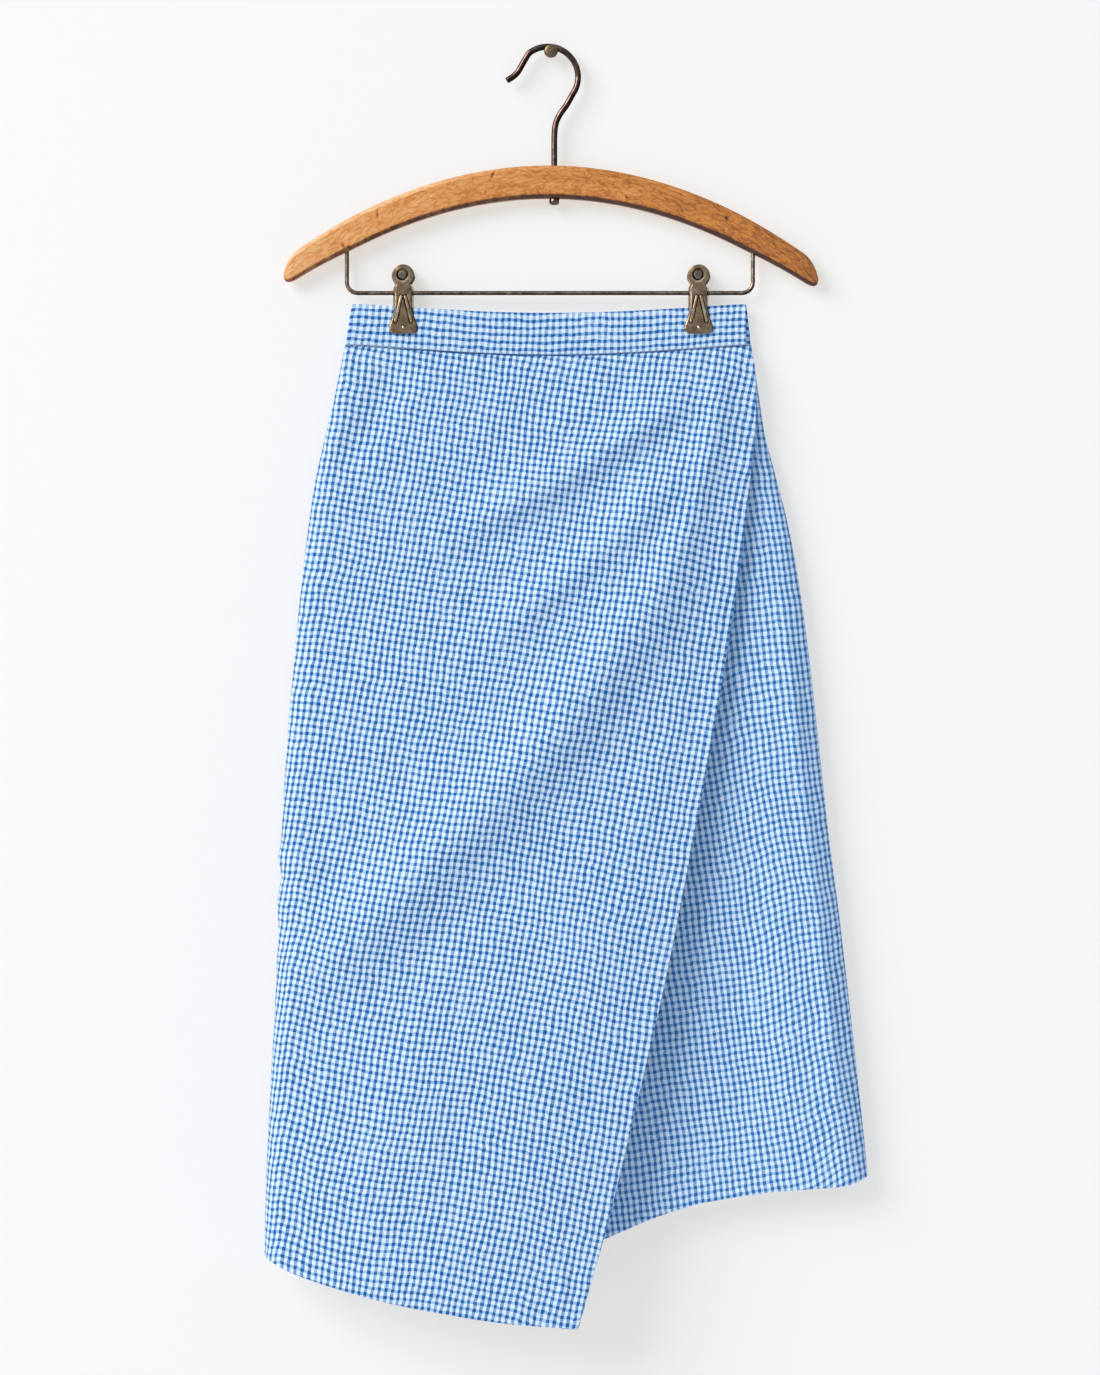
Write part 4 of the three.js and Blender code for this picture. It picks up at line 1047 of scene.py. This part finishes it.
# %% Nut and pin
def spin(name, node, slot_name, profile, centre, axis, sides=40):
    """Profile of radius and distance along the axis, spun about it and closed at both ends."""
    radius, along = np.asarray(profile, float).T[:, :, None]
    around = np.linspace(0, 2 * np.pi, sides + 1)[:-1]
    first, second = radius * np.cos(around), radius * np.sin(around)
    order = {"y": (first, along, second), "z": (second, first, along)}[axis]
    return add_piece(name, node, slot_name, grid_points(*order) + np.array(centre), tube=True)


nut_top = WOOD_CROWN - WOOD_HEIGHT - SEAM_GAP
nut_profile = [
    (0.3, -5.0), (2.4, -4.9), (3.6, -4.3), (4.3, -3.2), (4.4, -2.4), (4.3, -0.6), (3.9, 0), (0.3, 0),
]
nut = spin("hook_nut_cap", "hook_nut", "hook_steel", nut_profile, (SHANK, 0, nut_top), "z")

PIN_SHANK = 1.1
pin_back = -HOOK_WIRE / 2 - SEAM_GAP
pin_profile = [
    (0.2, pin_back - 2.5), (2.4, pin_back - 2.45), (4.2, pin_back - 2.2), (5.1, pin_back - 1.8),
    (5.55, pin_back - 1.2), (5.7, pin_back - 0.6), (5.5, pin_back - 0.1), (4.9, pin_back),
    (PIN_SHANK, pin_back), (PIN_SHANK, 12), (0.2, 16),
]
pin = spin("wall_pin_round", "wall_pin", "pin_brass", pin_profile, (0, 0, -PIN_SHANK - SEAM_GAP), "y")

# %% [markdown]
# ## Clips
# Each clip is two pressed jaws on the bar with a leaf spring between them. A jaw is one sheet of metal:
# a round tab with a dished rivet seat, a neck, and a pad that flares towards the grip. Its side edges
# are curled back, and two ribs pressed into a V stiffen it. Across the sheet the section is flat, then a
# quarter circle, then a flange; down the sheet the width and the distance from the bar come from tables.

# %% Jaw surface
JAW_WIDTHS = np.array([
    # height, half width
    (-232.6, 7.6), (-232.2, 9.6), (-231.2, 11.1), (-229.5, 11.8), (-226, 11.6), (-220, 10.2),
    (-213, 8.7), (-207, 8.4), (-198, 8.4), (-194.5, 8.0), (-192.5, 7.0), (-190.2, 8.2), (-188, 9.15),
    (-186, 9.4), (-183, 8.9), (-180.5, 7.7), (-178.4, 5.6), (-177.2, 3.6), (-176.7, 1.8),
])
JAW_FACES = np.array([
    # height, distance of the outer face from the bar's plane
    (-232.6, 5.2), (-231.5, 4.5), (-230, 4.1), (-221, 4.1), (-213, 5.2), (-206, 5.2), (-199.3, 4.5),
    (-194, 4.9), (-186, 6.4), (-176.6, 8.0),
])
SHEET = 0.8
CURL = 1.5                       # radius of the curled side edges
FLANGE_ANGLE = 70.0              # the flanges splay outwards a little
RIB = {"top": (1.7, -202.6), "foot": (6.4, -222.6), "reach": 1.25, "height": 1.2, "trench": 0.4}
DISH_X, DISH_Z = -0.6, -184.6    # centre of the dished rivet seat, from the middle of the clip
DISH_RADIUS, DISH_DEPTH = 5.0, 1.3
LIP, PAINTED_SHADE_RING, PAINTED_HIGHLIGHT_RIM = (5.4, 0.8), (4.35, 0.55), (5.7, 0.6)  # radius and width: the raised ring, the ring of painted shade and the rim of painted highlight
DIMPLE_Z = -227.6
CLIP_PLACES = {"left": -121.0, "right": 121.0}


def rib_shape(x, z):
    """Rib and trench of the V, both from 0 to 1: the rib is (1 - (distance / reach)^4)^0.5 near a leg."""
    rib, trench = np.zeros_like(x), np.zeros_like(x)
    for side in (-1, 1):
        start = np.array([side * RIB["top"][0], RIB["top"][1]])
        step = np.array([side * RIB["foot"][0], RIB["foot"][1]]) - start
        t = np.clip(((x - start[0]) * step[0] + (z - start[1]) * step[1]) / (step @ step), 0, 1)
        distance = np.hypot(x - start[0] - t * step[0], z - start[1] - t * step[1])
        rib = np.maximum(rib, np.sqrt(np.maximum(1 - (distance / RIB["reach"]) ** 4, 0)))
        trench = np.maximum(trench, bell(distance - RIB["reach"] - 0.25, 0.4))
    return rib, trench * (1 - rib)


def jaw_surface(middle, side, rows, columns):
    """Sheet of one jaw. Length along the section: flat to the curl, a part of a circle, then the flange.
    Its painted light is above 0 as painted highlight on the ribs, the lower right of the rim, the dimple
    and the left curl, and below 0 as painted shade in the trenches, the ring, the arc over the dimple and
    the right curl."""
    z = np.linspace(JAW_WIDTHS[-1, 0], JAW_WIDTHS[0, 0], rows)[:, None]
    half = read_table(JAW_WIDTHS, z)
    out = read_table(JAW_FACES, z)
    flange = 0.6 + 3.4 * ease(z, -228, -216) * (1 - ease(z, -191, -186))
    curl = np.minimum(CURL, half * 0.4)
    most = np.radians(FLANGE_ANGLE)
    flat = np.maximum(half - curl * np.sin(most) - flange * np.cos(most), half * 0.3)
    bent = curl * most
    total = flat + bent + flange
    share = np.linspace(-1, 1, columns)[None, :]
    length = np.abs(share) * total
    turn = np.clip((length - flat) / curl, 0, most)
    straight = np.maximum(length - flat - bent, 0)
    x = np.sign(share) * (np.minimum(length, flat) + curl * np.sin(turn) + straight * np.cos(most))
    back = curl * (1 - np.cos(turn)) + straight * np.sin(most)
    face_share = 1 - ease(length / flat, 0.92, 1.0)
    from_dish = np.hypot(x - DISH_X, z - DISH_Z)
    in_dish = 1 - ease(from_dish, DISH_RADIUS - 1.5, DISH_RADIUS)
    dish = 0.35 * bell(from_dish - LIP[0], LIP[1]) - DISH_DEPTH * in_dish
    dimple = bell(np.hypot(x, z - DIMPLE_Z), 0.9)
    rib, trench = rib_shape(x, z)
    lift = (RIB["height"] * rib - RIB["trench"] * trench + dish + 0.6 * dimple) * face_share
    # painted shade in the ring round the rivet, painted highlight on the lower right of the rim and
    # painted shade in an arc over the dimple
    ring = bell(from_dish - PAINTED_SHADE_RING[0], PAINTED_SHADE_RING[1])
    rim = bell(from_dish - PAINTED_HIGHLIGHT_RIM[0], PAINTED_HIGHLIGHT_RIM[1]) * ease((x - DISH_X) * 0.6 - (z - DISH_Z) * 0.8, 0, 5)
    painted_shade_arc = bell(np.hypot(x, z - DIMPLE_Z + 0.2) - 1.7, 0.35) * (z > DIMPLE_Z - 0.4)
    # painted highlight on the left curl, painted shade on the right curl
    edge = ease(turn / most, 0.3, 0.9) * np.where(x < 0, 0.4, -1.3)
    # painted highlight on the ribs and the dimple, painted shade in the trenches
    painted_light_marks = 0.45 * rib - 0.9 * trench - 0.9 * ring + 0.5 * rim + 0.9 * dimple - 0.8 * painted_shade_arc
    return grid_points(middle + x, side * (out + lift - back), z), painted_light_marks * face_share + edge


def make_jaw(name, node, middle, side):
    """One jaw: the front one, which is seen, on a fine grid, and the back one on a coarser grid."""
    rows, columns = (240, 120) if side < 0 else (90, 48)
    points, painted_light = jaw_surface(middle, side, rows, columns)
    piece = add_piece(name, node, "clip_brass", points, flip=side < 0)
    add_attribute(piece, "painted_light", painted_light)
    give_thickness(piece, SHEET)
    return piece


SPRING_SHEET = 0.6
SPRING_WIDTH = 8.0
SPRING_ARM = (1.6, 12.0)         # how far each arm leans out and rises


def make_spring(name, node, middle):
    """Leaf spring: a half circle under the bar and two leaning arms, in one strip of sheet."""
    inside = BAR_WIRE / 2 + SEAM_GAP + 0.35
    angle = np.linspace(np.pi, 2 * np.pi, 21)
    turn = np.stack([inside * np.cos(angle), BAR_HEIGHT + inside * np.sin(angle)], axis=-1)
    arms = np.linspace(0, 1, 10)[1:, None] * np.array([SPRING_ARM])
    route = np.concatenate([(turn[0] + arms * np.array([-1, 1]))[::-1], turn, turn[-1] + arms])
    across = np.linspace(-SPRING_WIDTH / 2, SPRING_WIDTH / 2, 9)[None, :]
    points = grid_points(middle + across, route[:, 0:1], route[:, 1:2])
    piece = add_piece(name, node, "hook_steel", points)
    give_thickness(piece, SPRING_SHEET, 0.0)
    return piece


clip_pieces = []
for clip, middle in CLIP_PLACES.items():
    for side, word in ((-1, "front"), (1, "back")):
        clip_pieces.append(make_jaw(f"clip_{clip}_{word}_sheet", f"clip_{clip}_{word}_jaw", middle, side))

# %% Springs and rivets
RIVET_PROFILE = [(0.2, -0.3), (2.2, -0.32), (3.2, -0.25), (3.65, 0.05), (3.65, 0.8), (0.2, 0.8)]
rivet_depth = DISH_DEPTH - float(read_table(JAW_FACES, DISH_Z)) - 0.5
spring_pieces = []
for clip, middle in CLIP_PLACES.items():
    spring_pieces.append(make_spring(f"clip_{clip}_leaf", f"clip_{clip}_spring", middle))
rivet_pieces = []
for clip, middle in CLIP_PLACES.items():
    names = (f"clip_{clip}_rivet_head", f"clip_{clip}_rivet")
    centre = (middle + DISH_X, rivet_depth, DISH_Z)
    rivet_pieces.append(spin(*names, "clip_brass", RIVET_PROFILE, centre, "y"))

# %% [markdown]
# ## Metals
# All the metal is old and browned. A metal's look is its reflections, so each one has only its tints, its
# roughness and a little staining from noise, and the wires and jaws also carry painted shade and painted
# highlight in their tint.

# %% Metal materials
def browned_metal(name, colors, roughness, spread, bump_height):
    """Metal with cloudy staining: noise, and the painted light that the points carry as painted shade and
    painted highlight, pick the tint from dark grime over two plain tints to bare metal, and finer noise
    varies the roughness."""
    material, tree, shader = new_material(name)
    place = tree.nodes.new("ShaderNodeTexCoord").outputs["Object"]
    cloud, _ = noise(tree, place, 180.0, 4.0, 0.6)
    fine, _ = noise(tree, place, 1400.0, 2.0)
    # the painted light number darkens the tint for painted shade and lightens it for painted highlight
    tone = scaled_sum(tree, own_number(tree, "painted_light"), 0.5, cloud, clamp=True)
    link(tree, ramp(tree, tone, list(zip((0.05, 0.38, 0.62, 0.95), colors))), shader.inputs["Base Color"])
    uneven = scaled_sum(tree, maths(tree, "SUBTRACT", fine, 0.5), spread, roughness)
    link(tree, uneven, shader.inputs["Roughness"])
    set_sockets(shader, {"Metallic": 1.0})
    bump(tree, shader, fine, bump_height, 0.0001)
    return material


HOOK_TINTS = [(34, 22, 20), (88, 66, 58), (128, 104, 92), (190, 168, 152)]
BAR_TINTS = [(34, 24, 18), (132, 110, 92), (176, 154, 132), (226, 206, 184)]
CLIP_TINTS = [(40, 28, 20), (136, 112, 86), (170, 144, 114), (236, 216, 190)]
PIN_TINTS = [(60, 46, 36), (118, 96, 76), (142, 119, 97), (184, 162, 138)]
RIVET_TINTS = [(50, 42, 36), (116, 106, 94), (138, 126, 112), (170, 158, 142)]
metals = [
    # pieces, material's name, tints, roughness, its spread, strength of the relief
    ([hook, nut, *spring_pieces], "browned_hook_steel", HOOK_TINTS, 0.2, 0.15, 0.08),
    ([bar], "browned_bar_steel", BAR_TINTS, 0.28, 0.2, 0.1),
    (clip_pieces, "browned_clip_metal", CLIP_TINTS, 0.34, 0.25, 0.3),
    ([pin], "browned_pin_metal", PIN_TINTS, 0.4, 0.2, 0.2),
    (rivet_pieces, "rivet_metal", RIVET_TINTS, 0.5, 0.2, 0.3),
]
for pieces, metal_name, *look in metals:
    metal = browned_metal(metal_name, *look)
    for piece in pieces:
        piece.data.materials.append(metal)

# %% [markdown]

# %% [markdown]
# ## Wall, floor and light
# The skirt hangs just in front of a white wall. The wall only shows itself: it throws no light back and
# is see-through from behind, so the back of the skirt can be looked at too. A large soft light from the
# upper left models the folds and throws the soft shadow down and to the right, and a pale sky fills in.

# %% Stage
WALL_DEPTH = 9.5
STAGE_REACH = 4000
WALL_FOOT, WALL_TOP, FLOOR_HEIGHT = -1900, 2200, -1700
WALL_PAINT, FLOOR_PAINT = (168, 172, 187), (236, 236, 236)
WALL_GLOW = 0.545
WALL_GLOW_COLOR = (255, 249, 229)


def plane(name, corners, color, glow=0.0, glow_color=(255, 255, 255), see_through_back=False):
    """Flat square that isn't part of the object, in a plain colour."""
    mesh = bpy.data.meshes.new(name)
    mesh.from_pydata([tuple(np.array(corner) * MM) for corner in corners], [], [(0, 1, 2, 3)])
    piece = bpy.data.objects.new(name, mesh)
    bpy.context.scene.collection.objects.link(piece)
    material, tree, shader = new_material(name + "_paint")
    set_sockets(shader, {
        "Base Color": linear(*color), "Roughness": 0.9, "Specular IOR Level": 0.0,
        "Emission Color": linear(*glow_color), "Emission Strength": glow,
    })
    if see_through_back:
        clear = tree.nodes.new("ShaderNodeBsdfTransparent")
        mix = tree.nodes.new("ShaderNodeMixShader")
        from_behind = tree.nodes.new("ShaderNodeNewGeometry").outputs["Backfacing"]
        for socket, source in zip(mix.inputs, (from_behind, shader.outputs[0], clear.outputs[0])):
            link(tree, source, socket)
        link(tree, mix.outputs[0], tree.nodes["Material Output"].inputs["Surface"])
    mesh.materials.append(material)
    return piece


around_wall = [(-1, WALL_FOOT), (1, WALL_FOOT), (1, WALL_TOP), (-1, WALL_TOP)]
wall_corners = [(side * STAGE_REACH, WALL_DEPTH, height) for side, height in around_wall]
around_floor = [(-1, -1), (1, -1), (1, 1), (-1, 1)]
floor_corners = [(x * STAGE_REACH, y * STAGE_REACH, FLOOR_HEIGHT) for x, y in around_floor]
wall = plane("wall", wall_corners, WALL_PAINT, WALL_GLOW, WALL_GLOW_COLOR, True)
wall.visible_diffuse = False
wall.visible_glossy = False
wall.visible_shadow = False
plane("floor", floor_corners, FLOOR_PAINT)

# %% Light
scene = bpy.context.scene
scene.view_settings.view_transform = "Standard"


def soft_light(name, place, target, size, power, color=(1.0, 1.0, 1.0)):
    """Square area light at a place, turned towards its target, both in metres."""
    data = bpy.data.lights.new(name, "AREA")
    data.shape = "SQUARE"
    data.size = size
    data.energy = power
    data.color = color
    lamp = bpy.data.objects.new(name, data)
    direction = np.array(target, float) - np.array(place, float)
    lamp.location = place
    lamp.rotation_euler = Vector(direction).to_track_quat("-Z", "Y").to_euler()
    scene.collection.objects.link(lamp)


SKIRT_MIDDLE = (0, 0, -0.55)
soft_light("key", (-7.2, -6.0, 4.9), SKIRT_MIDDLE, size=7.0, power=1112, color=(1.0, 0.97, 0.92))
soft_light("back_fill", (1.6, 2.6, 0.8), SKIRT_MIDDLE, size=2.0, power=40)
world = bpy.data.worlds.new("sky")
scene.world = world
world.use_nodes = True
sky = world.node_tree.nodes["Background"]
set_sockets(sky, {"Color": (0.84, 0.96, 1.14, 1.0), "Strength": 0.45})

# %% [markdown]
# ## Camera
# The photo is square to the wall with a long lens: 0.82 mm a pixel in the hanger's plane over 1100 by
# 1375 pixels, with the middle of the frame just left of and far below the hook.

# %% Camera
MM_PER_PIXEL = 0.82
FRAME_WIDTH = 1100
HOOK_PIXEL = (551, 50)
FRAME_MIDDLE = (550, 687.5)
CAMERA_DISTANCE = 3.0
SENSOR_WIDTH = 36.0
camera_data = bpy.data.cameras.new("camera")
camera_data.sensor_fit = "HORIZONTAL"
camera_data.sensor_width = SENSOR_WIDTH
camera_data.lens = SENSOR_WIDTH * CAMERA_DISTANCE / (FRAME_WIDTH * MM_PER_PIXEL * MM)
camera = bpy.data.objects.new("camera", camera_data)
camera.location = (
    (FRAME_MIDDLE[0] - HOOK_PIXEL[0]) * MM_PER_PIXEL * MM,
    -CAMERA_DISTANCE,
    (HOOK_PIXEL[1] - FRAME_MIDDLE[1]) * MM_PER_PIXEL * MM,
)
camera.rotation_euler = (np.pi / 2, 0, 0)
scene.collection.objects.link(camera)
scene.camera = camera
